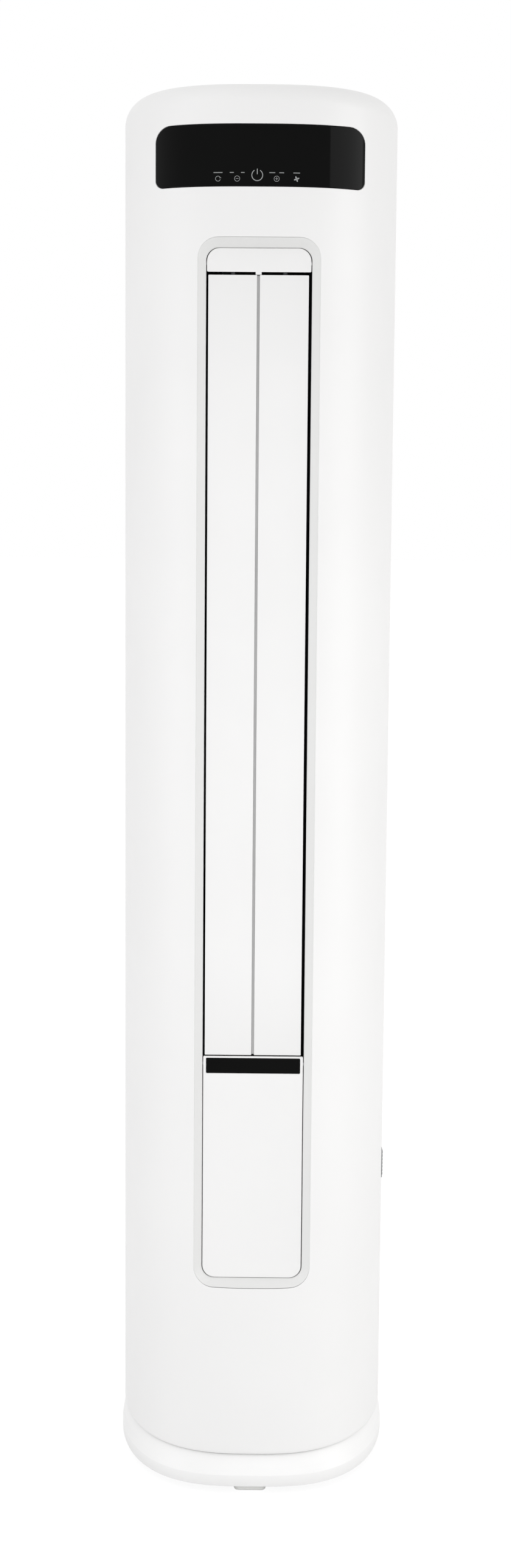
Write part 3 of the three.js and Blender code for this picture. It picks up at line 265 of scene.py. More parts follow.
def split_by_sight(tree, unseen, seen, output_type):
    """Output that shows one shader to the rays that see it directly and the other to the rest."""
    mix = add_node(tree, "MixShader")
    tree.links.new(seen_directly(tree), mix.inputs[0])
    tree.links.new(unseen.outputs[0], mix.inputs[1])
    tree.links.new(seen.outputs[0], mix.inputs[2])
    output = add_node(tree, output_type)
    tree.links.new(mix.outputs[0], output.inputs["Surface"])


SKY_LEVEL = 0.92
SKY_OVERHEAD = 1.2


def set_world():
    """Soft sky that grows brighter overhead, and plain white where it is seen directly."""
    bpy.context.scene.view_settings.view_transform = "Standard"
    world = bpy.data.worlds.new("studio")
    bpy.context.scene.world = world
    world.use_nodes = True
    tree = world.node_tree
    tree.nodes.clear()
    direction = add_node(tree, "TexCoord")
    upward = add_node(tree, "SeparateXYZ")
    tree.links.new(direction.outputs["Generated"], upward.inputs[0])
    level = add_node(tree, "MapRange", {"To Min": SKY_LEVEL, "To Max": SKY_OVERHEAD})
    tree.links.new(upward.outputs["Z"], level.inputs["Value"])
    ambient = add_node(tree, "Background")
    tree.links.new(level.outputs[0], ambient.inputs["Strength"])
    white = add_node(tree, "Background", {"Color": (1, 1, 1, 1)})
    split_by_sight(tree, ambient, white, "OutputWorld")


FLOOR_SIZE = 40.0
FLOOR_GLOW = 0.92
FLOOR_SEEN = 0.14
FLOOR_UNSEEN = 0.74


def set_floor():
    """White floor whose glow is seen only directly, so that it stays white and still takes a shadow."""
    half = FLOOR_SIZE / 2
    corners = [(-half, -half, 0), (half, -half, 0), (half, half, 0), (-half, half, 0)]
    mesh = bpy.data.meshes.new("floor")
    mesh.from_pydata(corners, [], [(0, 1, 2, 3)])
    floor = bpy.data.objects.new("floor", mesh)
    bpy.context.scene.collection.objects.link(floor)
    material = bpy.data.materials.new("floor_white")
    material.use_nodes = True
    tree = material.node_tree
    tree.nodes.clear()
    unseen = add_node(tree, "BsdfDiffuse", {"Color": (FLOOR_UNSEEN, FLOOR_UNSEEN, FLOOR_UNSEEN, 1)})
    shaded = add_node(tree, "BsdfDiffuse", {"Color": (FLOOR_SEEN, FLOOR_SEEN, FLOOR_SEEN, 1)})
    glow = add_node(tree, "Emission", {"Strength": FLOOR_GLOW})
    seen = add_node(tree, "AddShader")
    tree.links.new(shaded.outputs[0], seen.inputs[0])
    tree.links.new(glow.outputs[0], seen.inputs[1])
    split_by_sight(tree, unseen, seen, "OutputMaterial")
    mesh.materials.append(material)


def add_softbox(name, place, target, width, height, power, colour=(1, 1, 1), gloss_only=False):
    data = bpy.data.lights.new(name, "AREA")
    data.shape = "RECTANGLE"
    data.size = width
    data.size_y = height
    data.energy = power
    data.color = colour
    lamp = bpy.data.objects.new(name, data)
    bpy.context.scene.collection.objects.link(lamp)
    lamp.location = place
    lamp.rotation_euler = (Vector(target) - Vector(place)).to_track_quat("-Z", "Y").to_euler()
    lamp.visible_camera = False
    if gloss_only:
        lamp.visible_diffuse = False


def set_lamps():
    """Area lamps, each with its place, target, width, height, power in watts and colour."""
    add_softbox("key", (0.2, -2.2, 0.8), (0, 0, 0.8), 2.0, 1.2, 9.5)
    add_softbox("left", (-2.4, -0.9, 1.0), (0, 0, 0.95), 1.2, 1.6, 7.5, (0.985, 0.985, 1.0))
    add_softbox("right", (2.3, -0.5, 0.8), (0, 0, 0.8), 1.2, 1.2, 9.8, (1.0, 0.99, 0.975))
    add_softbox("top_left", (-1.7, -1.3, 2.7), (0, -0.1, 1.75), 1.2, 0.8, 2.8)
    add_softbox("display_side", (2.36, -0.54, 1.9), (0.1, -0.1, 1.71), 2.0, 0.8, 8.5, gloss_only=True)


set_camera()
set_world()
set_floor()
set_lamps()


# ---------------- materials

def start_material(name):
    material = bpy.data.materials.new(name)
    material.use_nodes = True
    return material, material.node_tree, material.node_tree.nodes["Principled BSDF"]


def noise(tree, scale, detail=2.0, stretch=(1, 1, 1)):
    """Noise over the object's own coordinates, in metres; scale is in features per metre."""
    coordinates = add_node(tree, "TexCoord")
    mapping = add_node(tree, "Mapping", {"Scale": stretch})
    tree.links.new(coordinates.outputs["Object"], mapping.inputs["Vector"])
    texture = add_node(tree, "TexNoise", {"Scale": scale, "Detail": detail})
    tree.links.new(mapping.outputs["Vector"], texture.inputs["Vector"])
    return texture.outputs["Fac"]


# Most noise values lie between these two.
NOISE_LOW = 0.3
NOISE_HIGH = 0.7


def spread(tree, value, low, high):
    """A noise value stretched to run from low to high."""
    limits = {"From Min": NOISE_LOW, "From Max": NOISE_HIGH, "To Min": low, "To Max": high}
    ramp = add_node(tree, "MapRange", limits)
    tree.links.new(value, ramp.inputs["Value"])
    return ramp.outputs["Result"]


def vary_colour(tree, shader, value, first, second):
    mix = add_node(tree, "Mix")
    mix.data_type = "RGBA"
    tree.links.new(spread(tree, value, 0, 1), mix.inputs["Factor"])
    mix.inputs["A"].default_value = (*first, 1)
    mix.inputs["B"].default_value = (*second, 1)
    tree.links.new(mix.outputs["Result"], shader.inputs["Base Color"])


def add_bump(tree, shader, value, height, strength=1.0):
    bump = add_node(tree, "Bump", {"Strength": strength, "Distance": height * MM})
    tree.links.new(value, bump.inputs["Height"])
    tree.links.new(bump.outputs["Normal"], shader.inputs["Normal"])


def tint(colour, factor):
    return tuple(channel * factor for channel in colour)


def moulded(name, colour, drift=0.012, roughness=(0.3, 0.38), skin=(900, 0.006), ior=1.45):
    """Moulded plastic: slow drift of colour, uneven gloss and the fine skin of the mould."""
    material, tree, shader = start_material(name)
    vary_colour(tree, shader, noise(tree, 5), tint(colour, 1 - drift), tint(colour, 1 + drift))
    gloss = spread(tree, noise(tree, 38, 4), *roughness)
    tree.links.new(gloss, shader.inputs["Roughness"])
    add_bump(tree, shader, noise(tree, skin[0], 2), skin[1])
    shader.inputs["IOR"].default_value = ior
    return material


def smoked_gloss(name):
    """Black high-gloss window: almost no colour of its own and a weak clear reflection."""
    material, tree, shader = start_material(name)
    vary_colour(tree, shader, noise(tree, 9), (0.0016, 0.0017, 0.0016), (0.0026, 0.0027, 0.0026))
    tree.links.new(spread(tree, noise(tree, 60, 4), 0.045, 0.075), shader.inputs["Roughness"])
    add_bump(tree, shader, noise(tree, 22), 0.004)
    shader.inputs["IOR"].default_value = 1.15
    return material


def metal(name, colour, roughness=(0.3, 0.45), stretch=(1, 1, 30), drift=0.1, metallic=1.0):
    """Rolled or drawn metal with the marks of its making along one axis."""
    material, tree, shader = start_material(name)
    vary_colour(tree, shader, noise(tree, 60, 4), tint(colour, 1 - drift), tint(colour, 1 + drift))
    grain = noise(tree, 40, 4, stretch)
    tree.links.new(spread(tree, grain, *roughness), shader.inputs["Roughness"])
    add_bump(tree, shader, grain, 0.01)
    shader.inputs["Metallic"].default_value = metallic
    return material


def circuit_board(name):
    """Green board with lighter copper runs under the lacquer."""
    material, tree, shader = start_material(name)
    coordinates = add_node(tree, "TexCoord")
    cells = add_node(tree, "TexVoronoi", {"Scale": 90})
    cells.distance = "CHEBYCHEV"
    tree.links.new(coordinates.outputs["Object"], cells.inputs["Vector"])
    vary_colour(tree, shader, cells.outputs["Distance"], (0.012, 0.12, 0.05), (0.04, 0.24, 0.1))
    tree.links.new(spread(tree, noise(tree, 50, 4), 0.25, 0.4), shader.inputs["Roughness"])
    add_bump(tree, shader, cells.outputs["Distance"], 0.03)
    return material


FINISH = {
    "white_shell": moulded("white_shell", (0.86, 0.857, 0.854), roughness=(0.4, 0.48)),
    "white_plinth": moulded("white_plinth", (0.88, 0.878, 0.875), roughness=(0.38, 0.46)),
    # pale_frame: painted shade, a greyer white than the shell, which darkens the recessed bevel round the outlet
    "pale_frame": moulded("pale_frame", (0.755, 0.755, 0.748), roughness=(0.42, 0.5)),
    "black_gloss": smoked_gloss("black_gloss"),
    # grey_rubber: painted light, a near-white that lifts the feet out of the plinth's shadow
    "grey_rubber": moulded("grey_rubber", (0.92, 0.92, 0.9), 0.02, (0.6, 0.75), (420, 0.04)),
    "dark_plastic": moulded("dark_plastic", (0.035, 0.038, 0.042), 0.12, (0.42, 0.55), (700, 0.02)),
    "zinc_steel": metal("zinc_steel", (0.56, 0.57, 0.58)),
    "coil_aluminium": metal("coil_aluminium", (0.72, 0.74, 0.76), (0.38, 0.5), (1, 1, 1), metallic=0.6),
    "copper_pipe": metal("copper_pipe", (0.62, 0.27, 0.14), (0.24, 0.38), (1, 1, 6), 0.16),
    "board_green": circuit_board("board_green"),
    "filter_grey": moulded("filter_grey", (0.33, 0.36, 0.38), 0.04, (0.5, 0.6), (600, 0.02)),
}
BRASS = metal("brass", (0.62, 0.47, 0.2), (0.25, 0.38), (1, 1, 1))
# The seal's grey is painted shade for the dark seam between the louvers.
SEAL_SHADE_GREY = moulded("seal_painted_shade", (0.55, 0.55, 0.55), 0.05, (0.6, 0.7), (420, 0.03))
CATCH_GREY = moulded("catch_grey", (0.2, 0.205, 0.21), 0.06, (0.45, 0.6), (700, 0.02))
ICON_INK = moulded("icon_ink", (0.3, 0.31, 0.31), 0.03, (0.4, 0.5))

SLOT_OF = {part["node"]: part["material_slot"] for part in frame["record"]["subparts"]}
for node_name, node in frame["nodes"].items():
    for node_slot in node.material_slots:
        node_slot.material = FINISH[SLOT_OF[node_name]]


# ---------------- mesh tools

def make(name, parts, slot, body="column", nodes=(), finish=None, sharp=40):
    """One piece from (points, faces) parts. It rides on a body and may stand for CAD nodes."""
    points = np.vstack([part[0] for part in parts]) * MM
    faces = []
    start = 0
    for part_points, part_faces in parts:
        faces += [[start + int(index) for index in face] for face in part_faces]
        start += len(part_points)
    mesh = bpy.data.meshes.new(name)
    mesh.from_pydata(points.tolist(), [], faces)
    mesh.validate()
    mesh.shade_smooth()
    mesh.set_sharp_from_angle(angle=math.radians(sharp))
    mesh.materials.append(finish or FINISH[slot])
    piece = bpy.data.objects.new(name, mesh)
    bpy.context.scene.collection.objects.link(piece)
    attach(piece, body)
    if nodes:
        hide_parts(*nodes)
    return piece


def loop_area(loop):
    following = np.roll(loop, -1, axis=0)
    return 0.5 * np.sum(loop[:, 0] * following[:, 1] - following[:, 0] * loop[:, 1])


def turned(loop, sense):
    """The loop as an array, anticlockwise for sense 1 and clockwise for sense -1."""
    loop = np.asarray(loop, float)
    return loop if loop_area(loop) * sense > 0 else loop[::-1]


MITRE_LIMIT = 0.3


def offset_loop(loop, distance):
    """Loop moved to its left by a distance, with mitred corners."""
    along_in = loop - np.roll(loop, 1, axis=0)
    along_in /= np.linalg.norm(along_in, axis=1)[:, None]
    left_in = np.column_stack([-along_in[:, 1], along_in[:, 0]])
    middle = left_in + np.roll(left_in, -1, axis=0)
    middle /= np.linalg.norm(middle, axis=1)[:, None]
    reach = distance / np.maximum(np.sum(middle * left_in, axis=1), MITRE_LIMIT)
    return loop + middle * reach[:, None]


def inside_loop(points, loop):
    odd = np.zeros(len(points), bool)
    for (x0, y0), (x1, y1) in zip(loop, np.roll(loop, -1, axis=0)):
        if y0 != y1:
            crosses = (y0 > points[:, 1]) != (y1 > points[:, 1])
            odd ^= crosses & (points[:, 0] < x0 + (points[:, 1] - y0) * (x1 - x0) / (y1 - y0))
    return odd


def distance_to_loop(points, loop):
    nearest = np.full(len(points), np.inf)
    for start, end in zip(loop, np.roll(loop, -1, axis=0)):
        along = end - start
        share = np.clip((points - start) @ along / (along @ along), 0, 1)
        nearest = np.minimum(nearest, np.hypot(*(points - start - share[:, None] * along).T))
    return nearest


def grid_points(loops, columns, rows, clear):
    """Crossings of the columns and rows that lie on the sheet and keep clear of its edges."""
    if not len(columns):
        return np.zeros((0, 2))
    u, v = np.meshgrid(columns, rows)
    points = np.column_stack([u.ravel(), v.ravel()])
    points = points[inside_loop(points, loops[0])]
    for loop in loops[1:]:
        points = points[~inside_loop(points, loop)]
    for loop in loops:
        points = points[distance_to_loop(points, loop) > clear]
    return points


# Heights are squeezed while the triangles are chosen, so that their long edges stand upright.
ROW_SQUEEZE = 0.3
CDT_TOLERANCE = 1e-7
SMALLEST_AREA = 1e-9


def triangulate(loops, grid):
    """Triangles of the sheet between its outer loop and its holes."""
    rim = np.vstack(loops)
    owner = np.concatenate([np.full(len(loop), number) for number, loop in enumerate(loops)])
    links = loop_links(loops)
    points = np.vstack([rim, grid])
    flat = [Vector((u, v * ROW_SQUEEZE)) for u, v in points]
    found, _, triangles, origins, _, _ = delaunay_2d_cdt(flat, links, [], 1, CDT_TOLERANCE)
    if len(found) != len(points) or any(origin != [i] for i, origin in enumerate(origins)):
        raise ValueError("the outline of a sheet crosses itself")
    triangles = np.array(triangles)
    corners = points[triangles]
    first, second = corners[:, 1] - corners[:, 0], corners[:, 2] - corners[:, 0]
    area = first[:, 0] * second[:, 1] - first[:, 1] * second[:, 0]
    triangles[area < 0] = triangles[area < 0][:, ::-1]
    triangles = triangles[np.abs(area) > SMALLEST_AREA]
    on_rim = np.all(triangles < len(rim), axis=1)
    drop = np.zeros(len(triangles), bool)
    middles = points[triangles].mean(axis=1)
    owners = owner[np.minimum(triangles, len(rim) - 1)]
    for number, loop in enumerate(loops):
        own = np.flatnonzero(on_rim & np.all(owners == number, axis=1))
        inside = inside_loop(middles[own], loop)
        drop[own] = ~inside if number == 0 else inside
    return points, triangles[~drop]


def loop_links(loops):
    links = []
    start = 0
    for loop in loops:
        count = len(loop)
        links += [(start + i, start + (i + 1) % count) for i in range(count)]
        start += count
    return links


EDGE_STEPS = 3


def shell(surface, outer, holes=(), wall=WALL, edge=0.8, columns=(), rows=(), clear=2.0, guard=0.5):
    """Sheet on surface(u, v, depth): rounded front edges, square sides and a back face.

    Its triangles end a guard inside the rounding, and the grid's points keep clear of that line.
    """
    loops = [turned(outer, 1)] + [turned(hole, -1) for hole in holes]
    profile = []
    for turn in np.linspace(0, math.pi / 2, EDGE_STEPS + 1):
        profile.append((edge * (1 - math.sin(turn)), edge * (1 - math.cos(turn))))
    profile.append((0, wall))
    guards = [offset_loop(loop, edge + guard) for loop in loops]
    grid = grid_points(guards, columns, rows, clear)
    points, triangles = triangulate(guards, grid)
    rim = sum(len(loop) for loop in loops)
    layers = [surface(points[:, 0], points[:, 1], 0)]
    for inset, depth in profile:
        ring = np.vstack([offset_loop(loop, inset) for loop in loops])
        layers.append(surface(ring[:, 0], ring[:, 1], depth))
    layers.append(surface(points[rim:, 0], points[rim:, 1], wall))
    starts = [0] + [len(points) + rim * step for step in range(len(profile))]
    faces = [tuple(triangle) for triangle in triangles]
    for near, far in zip(starts[:-1], starts[1:]):
        faces += [(far + a, far + b, near + b, near + a) for a, b in loop_links(loops)]
    back = np.where(triangles < rim, triangles + starts[-1], triangles - rim + starts[-1] + rim)
    faces += [tuple(triangle[::-1]) for triangle in back]
    return np.vstack(layers), faces


def loft(rings, looped=False):
    """Skin over rings of equal length: closed on itself, or with a face at each end."""
    count = len(rings[0])
    points = np.vstack(rings)
    faces = []
    for low in range(len(rings) if looped else len(rings) - 1):
        high = (low + 1) % len(rings)
        for i in range(count):
            j = (i + 1) % count
            faces.append((low * count + i, low * count + j, high * count + j, high * count + i))
    if not looped:
        faces.append(tuple(range(count))[::-1])
        faces.append(tuple((len(rings) - 1) * count + i for i in range(count)))
    return outward(points, faces)


def outward(points, faces):
    """The same skin with its faces pointing out."""
    volume = 0.0
    for face in faces:
        a = points[face[0]]
        for i in range(1, len(face) - 1):
            volume += np.dot(a, np.cross(points[face[i]], points[face[i + 1]]))
    return points, (faces if volume > 0 else [face[::-1] for face in faces])


def bend_between(share, start, control, end):
    """Points of a quadratic curve at the shares of its length given in a column."""
    start, control, end = (np.array(point, float) for point in (start, control, end))
    return (1 - share) ** 2 * start + 2 * share * (1 - share) * control + share ** 2 * end


def polar(radius, angles):
    """Flat points at a radius and at each of the angles."""
    return np.column_stack([radius * np.cos(angles), radius * np.sin(angles)])


def full_turn(count):
    return np.linspace(0, 2 * math.pi, count, endpoint=False)


def circle(radius, count=48):
    return polar(radius, full_turn(count))


def spun(flat, turn):
    """Flat points turned anticlockwise about the origin."""
    return flat @ np.array([[math.cos(turn), math.sin(turn)], [-math.sin(turn), math.cos(turn)]])


def at_height(flat, z):
    return np.column_stack([flat, np.full(len(flat), z)])


def along_axis(flat, height, axis, origin):
    """Points (a, b) of a plane square to an axis, at a height on it from the origin."""
    a, b = flat[:, 0], flat[:, 1]
    c = np.full(len(flat), float(height))
    order = {"z": (a, b, c), "y": (-a, c, b), "x": (c, a, b)}[axis]
    return np.column_stack(order) + np.array(origin, float)


def lathe(profile, origin, axis="z", count=48, looped=False):
    """Solid of revolution from (radius, height) pairs: a ring, or with a flat face at each end."""
    rings = [along_axis(circle(radius, count), height, axis, origin) for radius, height in profile]
    return loft(rings, looped)


def bar_profile(radius, low, high, edge=0.5):
    return [(radius - edge, low), (radius, low + edge), (radius, high - edge), (radius - edge, high)]


def block(low, high, edge=0.4):
    """Box with eased upright edges and chamfered ends."""
    (x0, y0, z0), (x1, y1, z1) = low, high
    half, middle, cut = (x1 - x0) / 2, (x0 + x1) / 2, edge * 0.7
    rings = []
    for inset, z in ((cut, z0), (0, z0 + cut), (0, z1 - cut), (cut, z1)):
        loop = rounded_loop(half - inset, y0 + inset, y1 - inset, edge, steps=(1, 1, 2), centre=middle)
        rings.append(at_height(loop, z))
    return loft(rings)


def rounded_loop(half_width, low, high, corner, top_corner=None, steps=(24, 60, 8), centre=0.0):
    """Anticlockwise loop of (u, v) points round an upright rounded rectangle.

    The steps are those across its foot and its top, up each side and round each corner.
    """
    across, up, turn = steps
    top = corner if top_corner is None else top_corner
    arcs = [
        (half_width - corner, low + corner, corner, -90),
        (half_width - top, high - top, top, 0),
        (top - half_width, high - top, top, 90),
        (corner - half_width, low + corner, corner, 180),
    ]
    bends = []
    for u, v, radius, start in arcs:
        angles = np.radians(np.linspace(start, start + 90, turn + 1))
        bends.append(polar(radius, angles) + (centre + u, v))
    loop = []
    for index, bend in enumerate(bends):
        count = across if index % 2 else up
        loop += [bend, np.linspace(bend[-1], bends[(index + 1) % 4][0], count + 1)[1:-1]]
    return np.vstack(loop)


# ---------------- column surface

def signed_power(value, power):
    return np.sign(value) * np.abs(value) ** (2 / power)


def section(angle, inset=0.0, grow=0.0):
    """Plan points (x, y) of the column, drawn in by inset; angle 0 is the front centre."""
    front = np.cos(angle) > 0
    side_power = np.where(front, SIDE_POWER + grow * (PLINTH_SIDE_POWER - SIDE_POWER), REAR_POWER)
    depth_power = np.where(front, FRONT_POWER, REAR_POWER)
    depth = np.where(front, FRONT_DEPTH + grow * PLINTH_GROW_FRONT, REAR_DEPTH + grow * PLINTH_GROW_REAR)
    half_width = HALF_WIDTH + grow * PLINTH_GROW_SIDE
    x = (half_width - inset) * signed_power(np.sin(angle), side_power)
    y = WIDEST_Y - (depth - inset) * signed_power(np.cos(angle), depth_power)
    return x, y


ANGLES = np.linspace(0, 2 * math.pi, 48001)
ARC = np.concatenate([[0], np.cumsum(np.hypot(*np.diff(np.array(section(ANGLES)), axis=1)))])
PERIMETER = ARC[-1]


def angle_at(s):
    return np.interp(np.mod(s, PERIMETER), ARC, ANGLES)


def front_s(x):
    """Distance round the section from the front centre to a point of the front at x."""
    angle = np.arcsin(np.clip(np.abs(x) / HALF_WIDTH, 0, 1) ** (SIDE_POWER / 2))
    return np.sign(x) * np.interp(angle, ANGLES, ARC)


def rear_s(x):
    angle = np.arcsin(np.clip(np.abs(x) / HALF_WIDTH, 0, 1) ** (REAR_POWER / 2))
    return np.interp(math.pi - np.sign(x) * angle, ANGLES, ARC)


def front_y(x):
    share = 1 - np.abs(np.asarray(x) / HALF_WIDTH) ** SIDE_POWER
    return WIDEST_Y - FRONT_DEPTH * share ** (1 / FRONT_POWER)


def rear_y(x):
    share = 1 - np.abs(np.asarray(x) / HALF_WIDTH) ** REAR_POWER
    return WIDEST_Y + REAR_DEPTH * share ** (1 / REAR_POWER)


def seam_s(y):
    """Distance round the section to the point of the right side at y, ahead of the widest plane."""
    return float(np.interp(math.acos((WIDEST_Y - y) / FRONT_DEPTH), ANGLES, ARC))


def top_radius(angle):
    return TOP_RADIUS_FRONT + (TOP_RADIUS_SIDE - TOP_RADIUS_FRONT) * np.sin(angle) ** 2


# Rows of the column's skin: v is the height on the wall, then runs over the top edge and the land.
WALL_TOP = 1757.0
BEND_START = WALL_TOP + 8
LAND_START = BEND_START + 52
LAND_END = LAND_START + TOP_LAND
WALL_ROW_STEP = 20.0
COLUMN_STEP = 6.0
HEM_HEIGHT = 5.0
HEM_ROLL = 2.2
HEM_ROUND = 0.98
HEM_ROW_SHARES = (0, 0.35, 0.65, 1, 1.8)
BEND_ROWS = 14


def column_skin(sink=0.0):
    """Surface (s, v, depth) of the column, sunk by a distance, with its lower edge rolled in."""
    def surface(s, v, depth):
        angle = angle_at(s)
        radius = top_radius(angle)
        low = np.clip((SHELL_BOTTOM + HEM_HEIGHT - v) / HEM_HEIGHT, 0, 1)
        deep = depth + sink + HEM_ROLL * (1 - np.sqrt(1 - HEM_ROUND * low ** 2))
        climb = np.clip((v - WALL_TOP) / (BEND_START - WALL_TOP), 0, 1)
        turn = np.clip((v - BEND_START) / (LAND_START - BEND_START), 0, 1) * math.pi / 2
        z = np.minimum(v, WALL_TOP) + climb * (HEIGHT - radius - WALL_TOP) + (radius - deep) * np.sin(turn)
        inset = deep + (radius - deep) * (1 - np.cos(turn)) + np.maximum(v - LAND_START, 0)
        x, y = section(angle, inset)
        return np.column_stack([x, y, z])
    return surface


def skin_rows():
    hem_rows = SHELL_BOTTOM + HEM_HEIGHT * np.array(HEM_ROW_SHARES)
    wall_rows = np.arange(SHELL_BOTTOM + WALL_ROW_STEP, WALL_TOP - WALL_ROW_STEP / 2, WALL_ROW_STEP)
    bend_rows = np.linspace(BEND_START, LAND_START, BEND_ROWS)
    return np.concatenate([hem_rows, wall_rows, [WALL_TOP], bend_rows, [LAND_END]])


def on_front(loop):
    return np.column_stack([front_s(loop[:, 0]), loop[:, 1]])


def on_rear(loop):
    return np.column_stack([rear_s(loop[:, 0]), loop[:, 1]])


def upright_plane(y):
    """Plane that faces the front: u is x, v is z."""
    return lambda u, v, depth: np.column_stack([u, np.full(len(u), y + depth), v])


def rear_plane(y):
    return lambda u, v, depth: np.column_stack([-u, np.full(len(u), y - depth), v])


def right_plane(x):
    """Plane that faces right: u is y, v is z."""
    return lambda u, v, depth: np.column_stack([np.full(len(u), x - depth), u, v])


def level_plane(z):
    return lambda u, v, depth: np.column_stack([u, v, np.full(len(u), z - depth)])


# ---------------- shells

POCKET_ROW_CLEAR = 3.0


def catch_notch(edge_s, inner_s):
    """Rising edge of a shell at the right seam, with the pocket of the side catch in it."""
    low, high = CATCH_Z - CATCH_HALF_HEIGHT - GAP, CATCH_Z + CATCH_HALF_HEIGHT + GAP
    below = [(edge_s, v) for v in skin_rows() if v < low - POCKET_ROW_CLEAR]
    above = [(edge_s, v) for v in skin_rows() if v > high + POCKET_ROW_CLEAR]
    return below + [(edge_s, low), (inner_s, low), (inner_s, high), (edge_s, high)] + above


def column_half(node, start, end, rising, falling, holes):
    """One shell of the column between two distances round it, with its upright edges and holes."""
    columns = np.linspace(start, end, round((end - start) / COLUMN_STEP) + 1)
    foot = [(s, SHELL_BOTTOM) for s in columns[1:-1]]
    top = [(s, LAND_END) for s in columns[1:-1][::-1]]
    sheet = shell(
        column_skin(), foot + rising + top + falling, holes,
        columns=columns, rows=skin_rows()[1:-1], clear=0.7,
    )
    make(node + "_skin", [sheet], "white_shell", nodes=[node])


def display_loop(grow=0.0):
    """Outline of the display, widened all round."""
    return rounded_loop(
        DISPLAY_HALF_WIDTH + grow, DISPLAY_LOW - grow, DISPLAY_HIGH + grow,
        DISPLAY_LOW_CORNER, DISPLAY_TOP_CORNER, steps=(40, 6, 10),
    )


def front_cover():
    seam = seam_s(SHELL_SPLIT_Y - GAP / 2)
    right = catch_notch(seam, seam_s(SHELL_SPLIT_Y - CATCH_HALF_DEPTH - GAP))
    left = [(-seam, v) for v in skin_rows()[::-1]]
    mouth = rounded_loop(FRAME_HALF_WIDTH + GAP / 2, FRAME_LOW - GAP / 2, FRAME_HIGH + GAP / 2, FRAME_CORNER)
    column_half("front_cover", -seam, seam, right, left, [on_front(mouth), on_front(display_loop(GAP))])


def rear_housing():
    seam = seam_s(SHELL_SPLIT_Y + GAP / 2)
    far = PERIMETER - seam
    right = catch_notch(seam, seam_s(SHELL_SPLIT_Y + CATCH_HALF_DEPTH + GAP))
    left = [(far, v) for v in skin_rows()]
    door = rounded_loop(
        GRILLE_HALF_WIDTH + GRILLE_GAP, GRILLE_LOW - GRILLE_GAP, GRILLE_HIGH + GRILLE_GAP,
        GRILLE_CORNER + GRILLE_GAP, steps=(36, 48, 5),
    )
    pipes = rounded_loop(
        PIPE_EXIT_HALF_WIDTH, PIPE_EXIT_LOW, PIPE_EXIT_HIGH, PIPE_EXIT_CORNER, steps=(12, 6, 8),
    )
    gland = circle(GLAND_RADIUS + GAP, 32) + (GLAND_X, GLAND_Z)
    column_half("rear_housing", seam, far, left, right[::-1], [on_rear(door), on_rear(pipes), on_rear(gland)])


def top_cover():
    angles = angle_at(np.linspace(0, PERIMETER, 160, endpoint=False))
    outline = np.column_stack(section(angles, top_radius(angles) + TOP_LAND + GAP))
    lid = shell(level_plane(HEIGHT), outline, wall=LID_THICKNESS, edge=0.7)
    make("top_cover_lid", [lid], "white_shell", nodes=["top_cover"])


def base_plinth():
    """Foot ring over levels that each have an inset, a height and a share of the flare."""
    underside = DECK_TOP - DECK_THICKNESS
    crown = SHELL_BOTTOM - SEAM_GAP
    levels = [(2 * WALL, underside, 0.5), (WALL, FOOT_HEIGHT + 0.4, 1), (WALL - 0.4, FOOT_HEIGHT, 1)]
    levels += [(inset, FOOT_HEIGHT + rise, 1) for inset, rise in ((1.4, 0), (0.4, 0.5), (0, 1.6))]
    levels += [(inset, PLINTH_BAND_TOP - drop, 1) for inset, drop in ((0, 1.0), (0.1, 0.35), (0.35, 0))]
    for drop in np.linspace(1, PLINTH_SHOULDER / (DECK_TOP - PLINTH_BAND_TOP), 12)[1:]:
        levels.append((0, DECK_TOP + (PLINTH_BAND_TOP - DECK_TOP) * drop, drop ** PLINTH_FLARE))
    for turn in np.linspace(0.15, 0.5, 5) * math.pi:
        inset, drop = PLINTH_SHOULDER * (1 - math.cos(turn)), PLINTH_SHOULDER * (1 - math.sin(turn))
        levels.append((inset, crown - drop, 0))
    angles = angle_at(np.linspace(0, PERIMETER, 220, endpoint=False))
    rings = []
    for inset, z, grow in levels:
        neck = NECK_DEPTH * max(0, (z - DECK_TOP) / NECK_HEIGHT + 1) ** NECK_POWER
        rings.append(at_height(np.column_stack(section(angles, inset + neck, grow)), z))
    make("base_plinth_ring", [loft(rings)], "white_plinth", nodes=["base_plinth"])


def feet():
    pad_top = FOOT_HEIGHT - GAP
    stem = bar_profile(FOOT_SOCKET_RADIUS, pad_top - 0.5, DECK_TOP - DECK_THICKNESS - GAP)
    for name, (x, y) in FEET.items():
        rings = []
        for inset, z in (*SOLE_EDGE, (0, pad_top - 0.8), (0.8, pad_top)):
            loop = rounded_loop(
                FOOT_HALF_WIDTH - inset, y + inset - FOOT_HALF_DEPTH, y + FOOT_HALF_DEPTH - inset,
                FOOT_CORNER - inset, steps=(1, 1, 6), centre=x,
            )
            rings.append(at_height(loop, z))
        # The pads' near-white rubber is painted light against the shadow under the plinth.
        make(name + "_pad", [loft(rings), lathe(stem, (x, y, 0), count=32)], "grey_rubber", nodes=[name])


# ---------------- outlet frame and its faces

